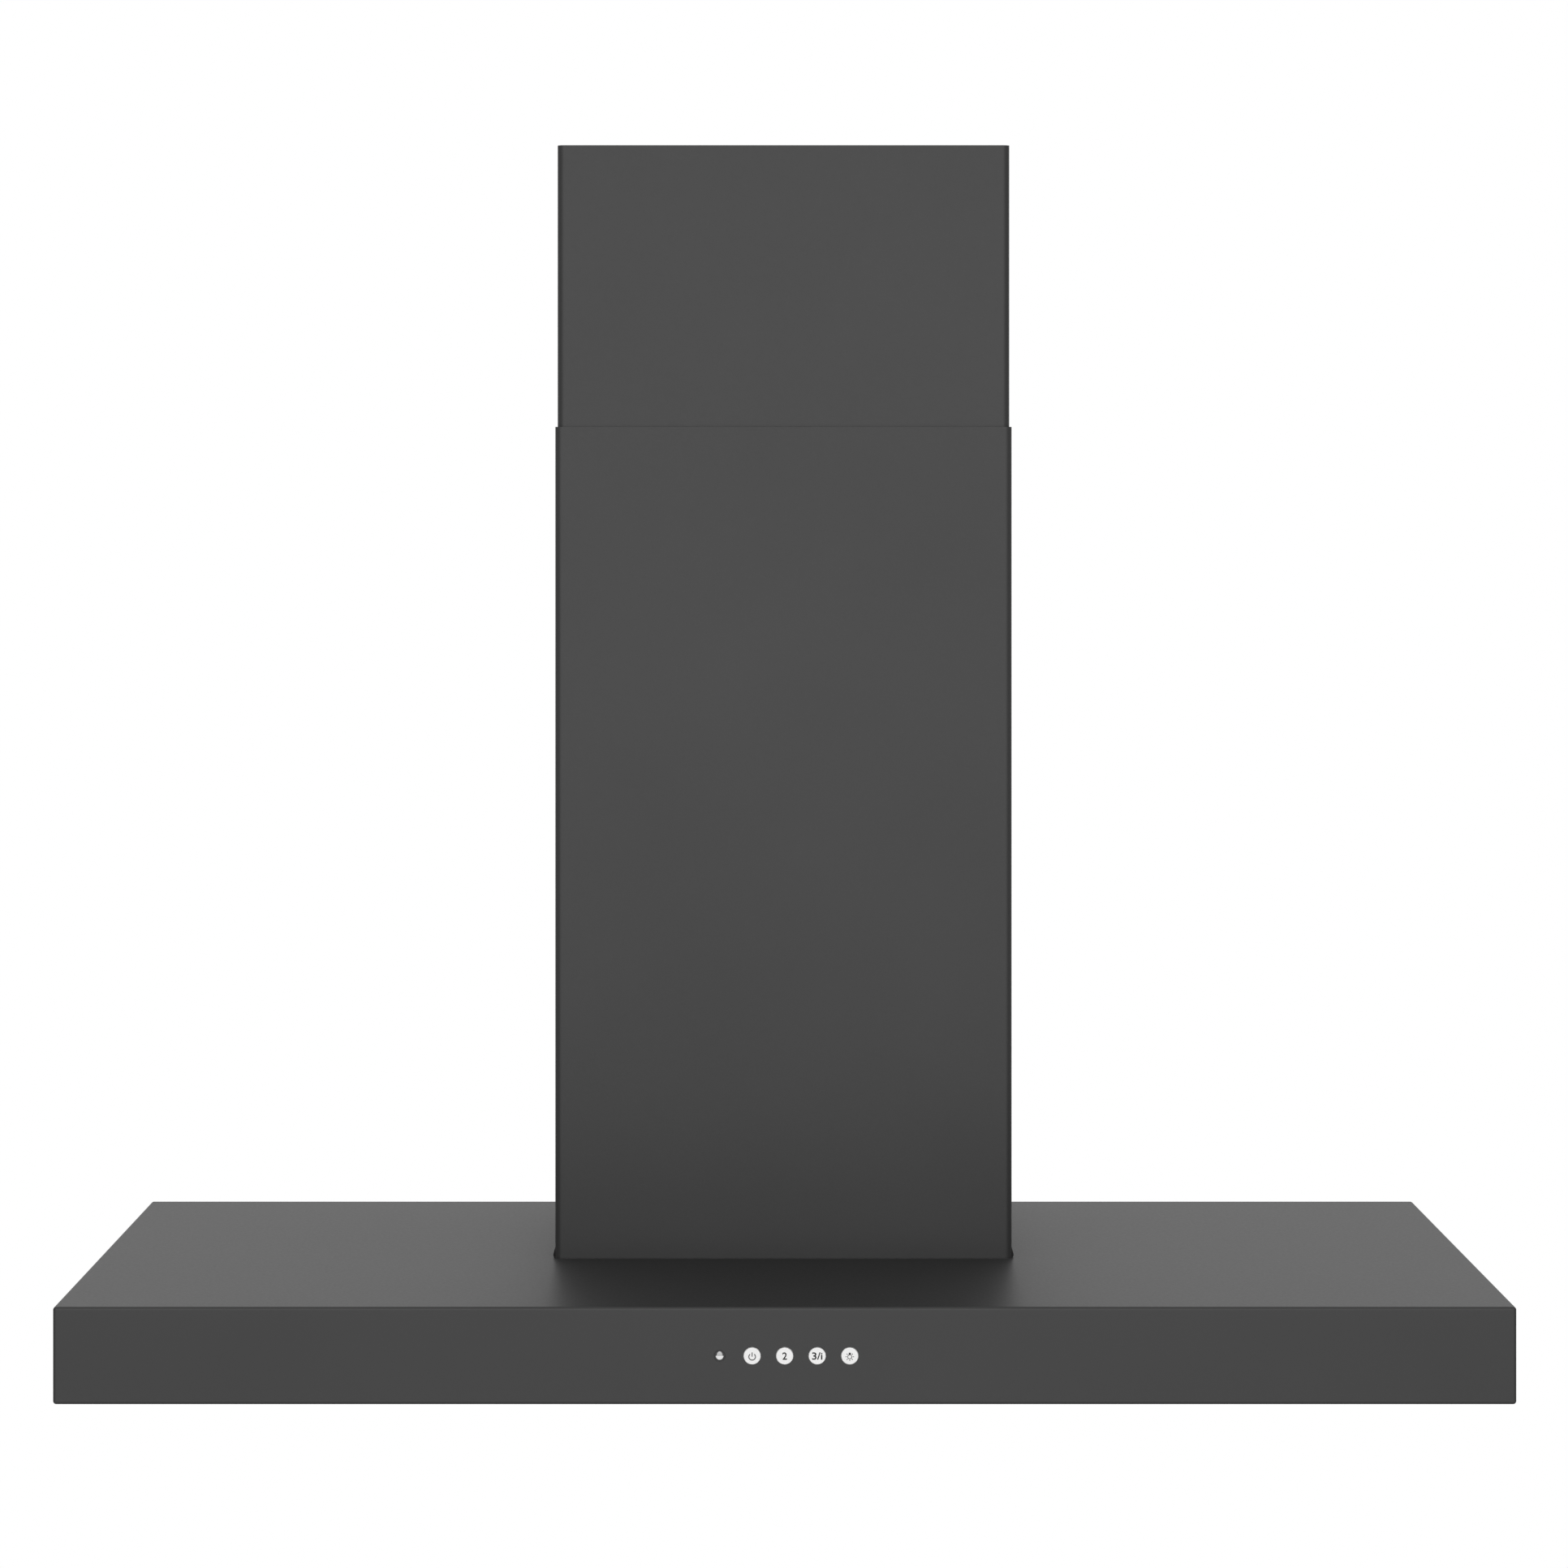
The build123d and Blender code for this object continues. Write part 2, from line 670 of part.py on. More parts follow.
def lid_seats():
    """Screws that hold the control case's lid."""
    inset = CASE_WALL / 2 + CASE_POST_RADIUS
    corners = [(CASE_Y[0] + inset, CASE_Z[0] + inset), (CASE_Y[1] - inset, CASE_Z[1] - inset)]
    return [seat((CASE_X + LID_SHEET, y, z), (1, 0, 0)) for y, z in corners]


BOX_FOOT_Y = (BOX_FRONT + BOX_FOOT_SETBACK, -PLATE_FOOT - BOX_FOOT_SETBACK)
BOX_FLANGE_Z = (CANOPY_HEIGHT + BOX_FOOT, BOX_TOP)
SCREW_HOLE = SCREW_RADIUS + SCREW_PLAY


# Canopy


def canopy_back():
    """Flat sheet that closes the canopy on the wall side, with a rim along its lower edge."""
    plate = block(both(INNER_HALF), (-CANOPY_SHEET, 0), (0, INNER_TOP))
    rim = block(both(HALF_WIDTH - RIM_WIDTH), (-RIM_WIDTH, 0), (0, CANOPY_SHEET))
    return plate + rim


def canopy_shell():
    """Folded canopy: top, front, two sides and the rim along the lower edges."""

    def body(inset, rear):
        x = both(HALF_WIDTH - inset)
        shape = block(x, (FRONT + inset, rear), (inset, CANOPY_HEIGHT - inset))
        edges = shape.edges().filter_by(lambda edge: edge.center().Y < -CANOPY_SHEET)
        return fillet(edges, CANOPY_BEND - inset)

    shell = body(0, 0) - body(CANOPY_SHEET, CUT)
    shell -= block(both(HALF_WIDTH - RIM_WIDTH), (FRONT + RIM_WIDTH, CUT), (-CUT, 2 * CANOPY_SHEET))
    shell -= canopy_back()
    suction_y = (BOX_FRONT + BOX_SHEET + SUCTION_MARGIN, -PLATE_FOOT - SUCTION_MARGIN)
    suction_z = (CANOPY_HEIGHT - CUT, CANOPY_HEIGHT + CUT)
    shell -= block(both(BOX_INSIDE - SUCTION_MARGIN), suction_y, suction_z)
    front_wall = (FRONT - CUT, INNER_FRONT + CUT)
    shell -= button_bars(BUTTON_RADIUS + BUTTON_PLAY, front_wall)
    shell -= indicator_bar(INDICATOR_RADIUS + INDICATOR_RING + 2 * INDICATOR_PLAY, front_wall)
    top_screws = bracket_foot_seats() + plate_foot_seats() + box_foot_seats()
    return drill(shell, top_screws, SCREW_HOLE, CUT)


def filter_tray():
    """Recessed tray that stands on the rim and carries the filters and the lamps."""
    outer_x = both(INNER_HALF - TRAY_GAP)
    outer_y = (INNER_FRONT + TRAY_GAP, -CANOPY_SHEET - TRAY_GAP)
    tray = block(outer_x, outer_y, (CANOPY_SHEET, TRAY_TOP))
    tray -= block(grow(outer_x, -TRAY_SHEET), grow(outer_y, -TRAY_SHEET), (0, TRAY_RISE))
    through = (TRAY_RISE - CUT, TRAY_TOP + CUT)
    tray -= block(both(OPENING_HALF), (OPENING_FRONT, OPENING_REAR), through)
    for x in both(LAMP_X):
        tray -= bar((x, LAMP_Y, through[0]), (x, LAMP_Y, through[1]), LAMP_HOLE_RADIUS)
    return tray


# Filters


def filter_centres():
    """Middle of each filter along X."""
    pitch = FILTER_WIDTH + FILTER_GAP
    return [(place - (FILTER_COUNT - 1) / 2) * pitch for place in range(FILTER_COUNT)]


def hinge_centres(x):
    """Middles of a filter's two hinges along X."""
    return span(x, FILTER_WIDTH - 2 * HINGE_INSET)


def filter_hook(x):
    """Hook with an upright slot, in which a filter's hinge pin hangs."""
    slot = PIN_RADIUS + PIN_PLAY
    width = span(x, HOOK_WIDTH)
    heel = (OPENING_REAR + LUG_PLAY, OPENING_REAR + HOOK_FOOT)
    low = PIVOT_Z - slot - HOOK_WALL
    arm = block(width, (PIVOT_Y - slot - HOOK_WALL, heel[1]), (low, PIVOT_Z + HOOK_LIP))
    foot = block(width, heel, (TRAY_TOP, low + HOOK_LIP))
    ends = grow(width, CUT)
    cut = bar((ends[0], PIVOT_Y, PIVOT_Z), (ends[1], PIVOT_Y, PIVOT_Z), slot)
    cut += block(ends, span(PIVOT_Y, 2 * slot), (PIVOT_Z, PIVOT_Z + CUT))
    return arm + foot - cut


def filter_hooks():
    """All hinge hooks, two for each filter."""
    return group([filter_hook(x) for centre in filter_centres() for x in hinge_centres(centre)])


def filter_hinge(x):
    """Two lugs and the pin between them, on the rear of a filter frame."""
    inner = HOOK_WIDTH / 2 + LUG_PLAY
    y = (FILTER_REAR, PIVOT_Y + LUG_EDGE)
    z = span(PIVOT_Z, 2 * (PIN_RADIUS + LUG_EDGE))
    lugs = [side_block(side, (inner, inner + LUG_SHEET), y, z) for side in (-1, 1)]
    ends = both(inner + LUG_SHEET)
    pin = bar((ends[0], PIVOT_Y, PIVOT_Z), (ends[1], PIVOT_Y, PIVOT_Z), PIN_RADIUS)
    return Pos(x, 0, 0) * (lugs[0] + lugs[1] + pin)


def filter_frame(x):
    """Folded frame of one filter, with its hinge lugs and the guide of its latch."""
    width = span(x, FILTER_WIDTH)
    length = (FILTER_FRONT, FILTER_REAR)
    height = (FILTER_BOTTOM, FILTER_TOP)
    frame = block(width, length, height)
    frame -= block(grow(width, -FILTER_SHEET), grow(length, -FILTER_SHEET), grow(height, -FILTER_SHEET))
    window_y = (FILTER_FRONT + FILTER_FRONT_FLANGE, FILTER_REAR - FILTER_FLANGE)
    frame -= block(grow(width, -FILTER_FLANGE), window_y, grow(height, CUT))

    slot_x = span(x, LATCH_WIDTH + 2 * LATCH_PLAY)
    slot_z = (LATCH_Z - LATCH_PLAY, LATCH_TOP + LATCH_PLAY)
    guide_x = grow(slot_x, LATCH_GUIDE_WALL)
    guide_y = (FILTER_FRONT, FILTER_FRONT + LATCH_BODY - LATCH_TRAVEL / 2)
    frame += block(guide_x, guide_y, (FILTER_BOTTOM, slot_z[1] + LATCH_GUIDE_WALL))
    frame -= block(slot_x, grow(guide_y, CUT), slot_z)
    pull_y = (PULL_Y - PULL_SHEET / 2 - LATCH_PLAY, PULL_Y + PULL_SHEET / 2 + LATCH_TRAVEL + LATCH_PLAY)
    frame -= block(span(x, PULL_WIDTH + 2 * LATCH_PLAY), pull_y, (FILTER_BOTTOM - CUT, LATCH_Z))
    for hinge_x in hinge_centres(x):
        frame += filter_hinge(hinge_x)
    return frame


def filter_baffles(x):
    """Two layers of channels: the upper ones stand over the gaps of the lower ones."""
    y = (FILTER_FRONT + FILTER_FRONT_FLANGE - BAFFLE_LAP, FILTER_REAR - FILTER_FLANGE + BAFFLE_LAP)
    room = FILTER_WIDTH - 2 * FILTER_SHEET
    count = int((room - BAFFLE_WIDTH) / BAFFLE_PITCH) + 1
    low = FILTER_BOTTOM + FILTER_SHEET
    high = FILTER_TOP - FILTER_SHEET

    def channel(centre, z, hollow_z):
        width = span(centre, BAFFLE_WIDTH)
        return block(width, y, z) - block(grow(width, -BAFFLE_SHEET), grow(y, CUT), hollow_z)

    pieces = []
    for place in range(count):
        centre = x + (place - (count - 1) / 2) * BAFFLE_PITCH
        pieces.append(channel(centre, (low, low + BAFFLE_LEG), (low + BAFFLE_SHEET, high)))
    for place in range(count - 1):
        centre = x + (place - (count - 2) / 2) * BAFFLE_PITCH
        pieces.append(channel(centre, (high - BAFFLE_LEG, high), (low, high - BAFFLE_SHEET)))
    return group(pieces)


def filter_latch(x):
    """Sliding tongue that rests on the tray's front edge, with its finger pull."""
    tongue_y = (OPENING_FRONT - LATCH_REACH, FILTER_FRONT + LATCH_BODY)
    tongue = block(span(x, LATCH_WIDTH), tongue_y, (LATCH_Z, LATCH_TOP))
    pull_z = (TRAY_RISE - PULL_DROP, LATCH_TOP)
    return tongue + block(span(x, PULL_WIDTH), span(PULL_Y, PULL_SHEET), pull_z)


# Lamps


def lamp_bar(z, radius):
    """Upright round bar at the origin."""
    return bar((0, 0, z[0]), (0, 0, z[1]), radius)


def lamp_bezel():
    """Bezel under the tray, with a neck through the lamp hole and a ledge above the lens."""
    foot = TRAY_RISE - BEZEL_HEIGHT
    flange = lamp_bar((foot, TRAY_RISE), BEZEL_RADIUS)
    flange = fillet(flange.edges().group_by(Axis.Z)[0], BEZEL_HEIGHT / 2)
    top = TRAY_TOP + BEZEL_NECK
    ring = flange + lamp_bar((TRAY_RISE, top), NECK_RADIUS)
    ring -= lamp_bar((foot - CUT, foot + LENS_HEIGHT + LAMP_PLAY), LENS_SEAT_RADIUS)
    return ring - lamp_bar((foot, top + CUT), LENS_SEAT_RADIUS - BEZEL_WALL)


def lamp_lens():
    """Frosted disc in the bezel."""
    foot = TRAY_RISE - BEZEL_HEIGHT
    disc = lamp_bar((foot + LAMP_PLAY, foot + LAMP_PLAY + LENS_HEIGHT), LENS_SEAT_RADIUS - LAMP_PLAY)
    return fillet(disc.edges().group_by(Axis.Z)[0], LENS_HEIGHT / 2)


def lamp_housing():
    """Finned cup that clamps the tray against the bezel."""
    outer = NECK_RADIUS + LAMP_PLAY + HOUSING_WALL
    cup = lamp_bar((TRAY_TOP, HOUSING_TOP), outer)
    cup -= lamp_bar((TRAY_TOP - CUT, HOUSING_TOP - HOUSING_WALL), NECK_RADIUS + LAMP_PLAY)
    pitch = 2 * outer / (FIN_COUNT + 1)
    for place in range(FIN_COUNT):
        x = (place - (FIN_COUNT - 1) / 2) * pitch
        reach = math.sqrt(outer**2 - x**2) - FIN_SHEET
        cup += block(span(x, FIN_SHEET), both(reach), (HOUSING_TOP, HOUSING_TOP + FIN_HEIGHT))
    return cup


def lamp_pair(piece):
    """A lamp piece set out on both sides."""
    return group([Pos(x, LAMP_Y, 0) * piece for x in both(LAMP_X)])


# Controls


def button_carrier():
    """Block behind the front with a pocket and a guide bore for each button."""
    z = span(CONTROL_HEIGHT, CARRIER_HEIGHT)
    carrier = block(CARRIER_X, (INNER_FRONT, CARRIER_BACK), z)
    for x in BOSS_XS:
        carrier += bar((x, CARRIER_BACK, CONTROL_HEIGHT), (x, BOARD_FRONT, CONTROL_HEIGHT), BOSS_RADIUS)
    pocket = BUTTON_RADIUS + BUTTON_FLANGE_STEP + POCKET_PLAY
    pocket_end = FLANGE_BACK + BUTTON_TRAVEL + SPRING_ROOM
    carrier -= button_bars(pocket, (INNER_FRONT - CUT, pocket_end))
    carrier -= button_bars(STEM_RADIUS + STEM_PLAY, (INNER_FRONT, CARRIER_BACK + CUT))
    ring = INDICATOR_RADIUS + INDICATOR_RING + 2 * INDICATOR_PLAY
    carrier -= indicator_bar(ring, (INNER_FRONT - CUT, INNER_FRONT + INDICATOR_RING_DEPTH))
    carrier -= indicator_bar(INDICATOR_RADIUS + INDICATOR_PLAY, (INNER_FRONT, CARRIER_BACK + CUT))
    return drill(carrier, board_seats(), SCREW_HOLE, BOARD_SHEET + SCREW_PAST + CUT)


def push_button(x):
    """Round cap with a flange behind the front and a stem into its switch."""
    face = FRONT - BUTTON_PROUD
    cap = bar((x, FLANGE_FRONT, CONTROL_HEIGHT), (x, face, CONTROL_HEIGHT), BUTTON_RADIUS)
    cap = fillet(cap.edges().group_by(Axis.Y)[0], BUTTON_EDGE)
    flange_radius = BUTTON_RADIUS + BUTTON_FLANGE_STEP
    cap += bar((x, FLANGE_FRONT, CONTROL_HEIGHT), (x, FLANGE_BACK, CONTROL_HEIGHT), flange_radius)
    tip = SWITCH_FRONT + STEM_ENTRY
    return cap + bar((x, FLANGE_BACK, CONTROL_HEIGHT), (x, tip, CONTROL_HEIGHT), STEM_RADIUS)


def push_switches():
    """Switch bodies on the board, each bored for its button's stem."""
    pieces = []
    for x in BUTTON_XS:
        z = span(CONTROL_HEIGHT, SWITCH_SIZE)
        body = block(span(x, SWITCH_SIZE), (SWITCH_FRONT, BOARD_FRONT), z)
        end = BOARD_FRONT - SWITCH_FLOOR
        bore = bar((x, SWITCH_FRONT - CUT, CONTROL_HEIGHT), (x, end, CONTROL_HEIGHT), STEM_RADIUS + STEM_PLAY)
        pieces.append(body - bore)
    return group(pieces)


def control_board():
    """Circuit board with a connector at each end and one in the middle."""
    z = span(CONTROL_HEIGHT, CARRIER_HEIGHT)
    board = block(CARRIER_X, (BOARD_FRONT, BOARD_BACK), z)
    board = drill(board, board_seats(), SCREW_HOLE, CUT)
    for x in connector_centres():
        height = span(CONTROL_HEIGHT, CONNECTOR_SIZE)
        board += block(span(x, CONNECTOR_SIZE), (BOARD_BACK, BOARD_BACK + CONNECTOR_SIZE), height)
    return board


def connector_centres():
    """Connectors along the board: lamp, control, lamp."""
    inset = 2 * BOSS_RADIUS + CONNECTOR_SIZE
    return (CARRIER_X[0] + inset, sum(CARRIER_X) / 2, CARRIER_X[1] - inset)


def indicator_lens():
    """Round-nosed indicator lamp on the board."""
    lens = indicator_bar(INDICATOR_RADIUS, (BOARD_FRONT, FRONT))
    return fillet(lens.edges().group_by(Axis.Y)[0], INDICATOR_RADIUS - INDICATOR_PLAY)


def indicator_ring():
    """Ring that lines the indicator's hole."""
    y = (FRONT, INNER_FRONT + INDICATOR_RING_DEPTH)
    outer = INDICATOR_RADIUS + INDICATOR_RING + INDICATOR_PLAY
    return indicator_bar(outer, y) - indicator_bar(INDICATOR_RADIUS + INDICATOR_PLAY, grow(y, CUT))


# Chimney


def folded_tube(half, front, rear, z):
    """Chimney section folded from one sheet, with a narrow return along each wall edge."""

    def outline(inset):
        face = Pos(0, (front + rear) / 2) * Rectangle(2 * (half - inset), rear - front - 2 * inset)
        face = fillet(face.vertices().group_by(Axis.Y)[0], CHIMNEY_FRONT_BEND - inset)
        return fillet(face.vertices().group_by(Axis.Y)[-1], CHIMNEY_REAR_BEND - inset)

    wall = outline(0) - outline(CHIMNEY_SHEET)
    wall -= Pos(0, rear) * Rectangle(2 * (half - CHIMNEY_RETURN), 4 * CHIMNEY_REAR_BEND)
    return Pos(0, 0, z[0]) * extrude(wall, z[1] - z[0])


def studs(places):
    """Welded studs that stand on the seats."""
    return [place * Cylinder(STUD_RADIUS, STUD_LENGTH, align=BASE) for place in places]


def lower_chimney():
    """Fixed outer chimney section, with the studs of its brackets."""
    sheet = folded_tube(LOWER_HALF, -CHIMNEY_DEPTH, 0, (CANOPY_HEIGHT, LOWER_TOP))
    return sheet + studs(bracket_stud_seats(0))


def upper_chimney():
    """Sliding inner chimney section, with the studs of its ceiling bracket."""
    front = -CHIMNEY_DEPTH + UPPER_STEP
    sheet = folded_tube(UPPER_HALF, front, -UPPER_STEP, (UPPER_BOTTOM, UPPER_TOP))
    return sheet + studs(ceiling_stud_seats(0))


def base_seals():
    """Rubber strips along the foot of the chimney's sides."""
    points = [(0, 0), (0, SEAL_HEIGHT), (SEAL_PROUD, SEAL_BULGE)]
    points += [(SEAL_PROUD, SEAL_PROUD), (SEAL_PROUD / 2, 0)]
    length = CHIMNEY_DEPTH - CHIMNEY_FRONT_BEND - CHIMNEY_REAR_BEND
    profile = Plane.XZ * make_face(Polyline(*points, close=True))
    strip = Pos(LOWER_HALF, -CHIMNEY_REAR_BEND, CANOPY_HEIGHT) * extrude(profile, length)
    return group([strip, mirror(strip, Plane.YZ)])


def chimney_brackets():
    """Angles that hold the lower chimney's sides on the canopy."""
    pieces = []
    y = (-BRACKET_SETBACK - BRACKET_LENGTH, -BRACKET_SETBACK)
    for side in (-1, 1):
        foot_z = (CANOPY_HEIGHT, CANOPY_HEIGHT + BRACKET_SHEET)
        foot = side_block(side, (LOWER_INSIDE - BRACKET_FOOT, LOWER_INSIDE), y, foot_z)
        rise_z = (CANOPY_HEIGHT, CANOPY_HEIGHT + BRACKET_RISE)
        rise = side_block(side, (LOWER_INSIDE - BRACKET_SHEET, LOWER_INSIDE), y, rise_z)
        pieces.append(foot + rise)
    brackets = drill(group(pieces), bracket_foot_seats(), SCREW_HOLE, CUT)
    return drill(brackets, bracket_stud_seats(0), STUD_RADIUS + STUD_PLAY, CUT)


def ceiling_bracket():
    """Cross strap behind the upper chimney's top, joggled round its returns, with an ear on each side."""
    z = (UPPER_TOP - CEILING_DROP - CEILING_HEIGHT, UPPER_TOP - CEILING_DROP)
    strap_half = PLATE_HALF - CEILING_EDGE
    strap = block(both(strap_half), (-BRACKET_SHEET, 0), z)
    joggle = UPPER_STEP + CHIMNEY_REAR_BEND + CEILING_GAP
    inner_y = (-joggle - BRACKET_SHEET, -joggle)
    for side in (-1, 1):
        strap += side_block(side, (strap_half - BRACKET_SHEET, strap_half), (inner_y[0], 0), z)
        strap += side_block(side, (strap_half - BRACKET_SHEET, UPPER_INSIDE), inner_y, z)
        ear_y = (-CEILING_EAR, inner_y[1])
        strap += side_block(side, (UPPER_INSIDE - BRACKET_SHEET, UPPER_INSIDE), ear_y, z)
    holes = [seat((x, 0, sum(z) / 2), (0, 1, 0)) for x in span(0, CEILING_BOLT_SPACING)]
    strap = drill(strap, holes, CEILING_BOLT_RADIUS, CUT)
    return drill(strap, ceiling_stud_seats(0), STUD_RADIUS + STUD_PLAY, CUT)


# Blower


def wall_plate():
    """Plate bolted to the wall, with a foot on the canopy."""
    plate = block(both(PLATE_HALF), (-PLATE_SHEET, 0), (CANOPY_HEIGHT, PLATE_TOP))
    foot_z = (CANOPY_HEIGHT, CANOPY_HEIGHT + PLATE_SHEET)
    plate += block(both(BOX_INSIDE - BOX_SHEET), (-PLATE_FOOT, 0), foot_z)
    bolts = [seat((x, 0, z), (0, 1, 0)) for x in both(BOLT_X) for z in BOLT_ZS]
    plate = drill(plate, bolts, BOLT_RADIUS, CUT)
    return drill(plate, plate_foot_seats() + box_rear_seats(), SCREW_HOLE, CUT)


def blower_box():
    """Folded box over the suction opening: two sides, a top and narrow flanges."""
    y = (BOX_FRONT, BOX_REAR)
    box = block(both(BOX_HALF), y, (BOX_CEILING, BOX_TOP))
    for side in (-1, 1):
        box += side_block(side, (BOX_INSIDE, BOX_HALF), y, (CANOPY_HEIGHT, BOX_TOP))
        foot_z = (CANOPY_HEIGHT, CANOPY_HEIGHT + BOX_SHEET)
        box += side_block(side, (BOX_INSIDE, BOX_HALF + BOX_FOOT), BOX_FOOT_Y, foot_z)
        rear_y = (BOX_REAR - BOX_SHEET, BOX_REAR)
        box += side_block(side, (BOX_INSIDE, BOX_HALF + BOX_REAR_FLANGE), rear_y, BOX_FLANGE_Z)
        front_y = (BOX_FRONT, BOX_FRONT + BOX_SHEET)
        box += side_block(side, (BOX_HALF - BOX_FRONT_FLANGE, BOX_HALF), front_y, (CANOPY_HEIGHT, BOX_TOP))
    box -= block(both(SCROLL_HALF - SCROLL_WALL), OUTLET_Y, (BOX_CEILING - CUT, BOX_TOP + CUT))
    box -= lead_holes()
    screws = box_foot_seats() + box_rear_seats() + cover_seats() + outlet_seats()
    return drill(box, screws, SCREW_HOLE, CUT)


def blower_cover():
    """Flat front cover of the blower box."""
    cover = block(both(BOX_HALF), (COVER_FRONT, BOX_FRONT), (CANOPY_HEIGHT, BOX_TOP))
    return drill(cover, cover_seats(), SCREW_HOLE, CUT)


def scroll_air():
    """Outline of the air space: a four-centre spiral that opens into a straight outlet."""
    arcs = []
    for turn, start in enumerate((TONGUE_ANGLE, 90, 180, 270)):
        end = 90 * (turn + 1)
        arcs.append(CenterArc(SCROLL_CENTRES[turn], SCROLL_RADII[turn], start, end - start))
    top = SCROLL_RISE
    corners = [(SCROLL_REACH, SCROLL_CORNER), (SCROLL_REACH, top), (TONGUE_U, top), (TONGUE_U, TONGUE_V)]
    return make_face(arcs + [Polyline(*corners)])


def scroll_half(side):
    """One half of the fan's scroll, with its inlet, lugs and outlet flange."""
    air = scroll_air()
    case = offset(air, SCROLL_WALL)
    shell = extrude(FAN_PLANE * case, -side * SCROLL_HALF)
    shell -= extrude(FAN_PLANE * air, -side * (SCROLL_HALF - SCROLL_WALL))
    for point in scroll_lug_points(0):
        lug = bar(point, Vector(point) + Vector(side * SCROLL_LUG_LENGTH, 0, 0), SCROLL_LUG_RADIUS)
        shell += lug - extrude(FAN_PLANE * air, -side * SCROLL_HALF)
    flange_y = grow(OUTLET_Y, SCROLL_WALL)
    flange_z = (BOX_CEILING - OUTLET_FLANGE_SHEET, BOX_CEILING)
    flange_x = (SCROLL_HALF - SCROLL_WALL, SCROLL_HALF + OUTLET_FLANGE)
    shell += side_block(side, flange_x, flange_y, flange_z)
    over = (BOX_CEILING, BOX_CEILING + SCROLL_WALL + CUT)
    shell -= block(both(BOX_HALF), grow(OUTLET_Y, SCROLL_WALL + CUT), over)
    shell -= fan_bar(both(SCROLL_HALF + CUT), INLET_RADIUS)
    shell = drill(shell, scroll_lug_seats(), SCREW_HOLE, 3 * SCROLL_LUG_LENGTH)
    end_screws = spider_seats() if side > 0 else inlet_seats()
    shell = drill(shell, end_screws, SCREW_HOLE, 2 * SCROLL_WALL + 2 * GROMMET_HEIGHT)
    return drill(shell, outlet_seats(), SCREW_HOLE, 3 * COLLAR_FLANGE + CUT)


def inlet_ring():
    """Flared ring in the scroll's left inlet."""
    flange_x = (-SCROLL_HALF - INLET_LIP, -SCROLL_HALF)
    ring = fan_bar(flange_x, INLET_RADIUS + INLET_FLANGE)
    ring += fan_bar((-SCROLL_HALF - INLET_LIP, -SCROLL_HALF + SCROLL_WALL), INLET_RADIUS - INLET_PLAY)
    ring -= fan_bar((-SCROLL_HALF - CUT, 0), INLET_RADIUS - INLET_PLAY - INLET_LIP)
    mouth = ring.edges().filter_by(GeomType.CIRCLE).group_by(Axis.X)[0].sort_by(SortBy.RADIUS)[0]
    ring = fillet(mouth, INLET_LIP - INLET_PLAY)
    return drill(ring, inlet_seats(), SCREW_HOLE, CUT)


def blade_outline():
    """One forward-curved blade, seen along the fan's axis."""
    radii = (FAN_RADIUS - BLADE_DEPTH, FAN_RADIUS - BLADE_DEPTH / 2, FAN_RADIUS - BLADE_SHEET / 2)
    angles = (0, BLADE_CAMBER, BLADE_SWEEP)

    def edge_points(shift):
        turns = [math.radians(angle) + shift / radius for angle, radius in zip(angles, radii)]
        return [(radius * math.cos(turn), radius * math.sin(turn)) for turn, radius in zip(turns, radii)]

    low = edge_points(-BLADE_SHEET / 2)
    high = edge_points(BLADE_SHEET / 2)
    edges = [ThreePointArc(*low), Line(low[2], high[2]), ThreePointArc(*high), Line(high[0], low[0])]
    return make_face(edges)


def impeller():
    """Twin-inlet blade wheel on its hub."""
    blade = extrude(FAN_PLANE * blade_outline(), FAN_HALF, both=True)
    axis = Axis((0, FAN_Y, FAN_Z), (1, 0, 0))
    wheel = fan_bar(both(FAN_DISC / 2), FAN_RADIUS) + fan_bar((-HUB_LENGTH, 0), HUB_RADIUS)
    for side in (-1, 1):
        ends = sorted((side * FAN_HALF, side * (FAN_HALF - FAN_RING_SHEET)))
        wheel += fan_bar(ends, FAN_RADIUS) - fan_bar(ends, FAN_RADIUS - FAN_RING)
    wheel += [blade.rotate(axis, 360 * place / BLADE_COUNT) for place in range(BLADE_COUNT)]
    return wheel - fan_bar((-HUB_LENGTH - CUT, FAN_DISC + CUT), SHAFT_RADIUS)


def motor_can():
    """Cup round the stator, with a boss for the front bearing."""
    inside = MOTOR_NEAR + MOTOR_WALL
    can = fan_bar((MOTOR_NEAR, CAP_NEAR), MOTOR_RADIUS)
    can -= fan_bar((inside, CAP_NEAR + CUT), MOTOR_RADIUS - MOTOR_WALL)
    boss_x = (inside, inside + BEARING_WIDTH)
    can += fan_bar(boss_x, BEARING_RADIUS + BEARING_BOSS)
    can -= fan_bar((inside, inside + BEARING_WIDTH + CUT), BEARING_RADIUS + SHAFT_PLAY)
    return can - fan_bar((MOTOR_NEAR - CUT, inside + CUT), MOTOR_SHAFT_HOLE)


def motor_cap():
    """End cap of the motor, with a pocket for the rear bearing and a hole for the lead."""
    cap = fan_bar((CAP_NEAR, SPIDER_X), MOTOR_RADIUS)
    cap -= fan_bar((CAP_NEAR - CUT, CAP_NEAR + BEARING_WIDTH), BEARING_RADIUS + SHAFT_PLAY)
    return drill(cap, motor_seats(), SCREW_HOLE, SPIDER_SHEET + 2 * SCREW_PAST)


def motor_bearings():
    """Bearings at both ends of the motor."""
    near = MOTOR_NEAR + MOTOR_WALL
    rings = []
    for start in (near, CAP_NEAR):
        x = (start, start + BEARING_WIDTH)
        rings.append(fan_bar(x, BEARING_RADIUS) - fan_bar(grow(x, CUT), SHAFT_RADIUS + SHAFT_PLAY))
    return group(rings)


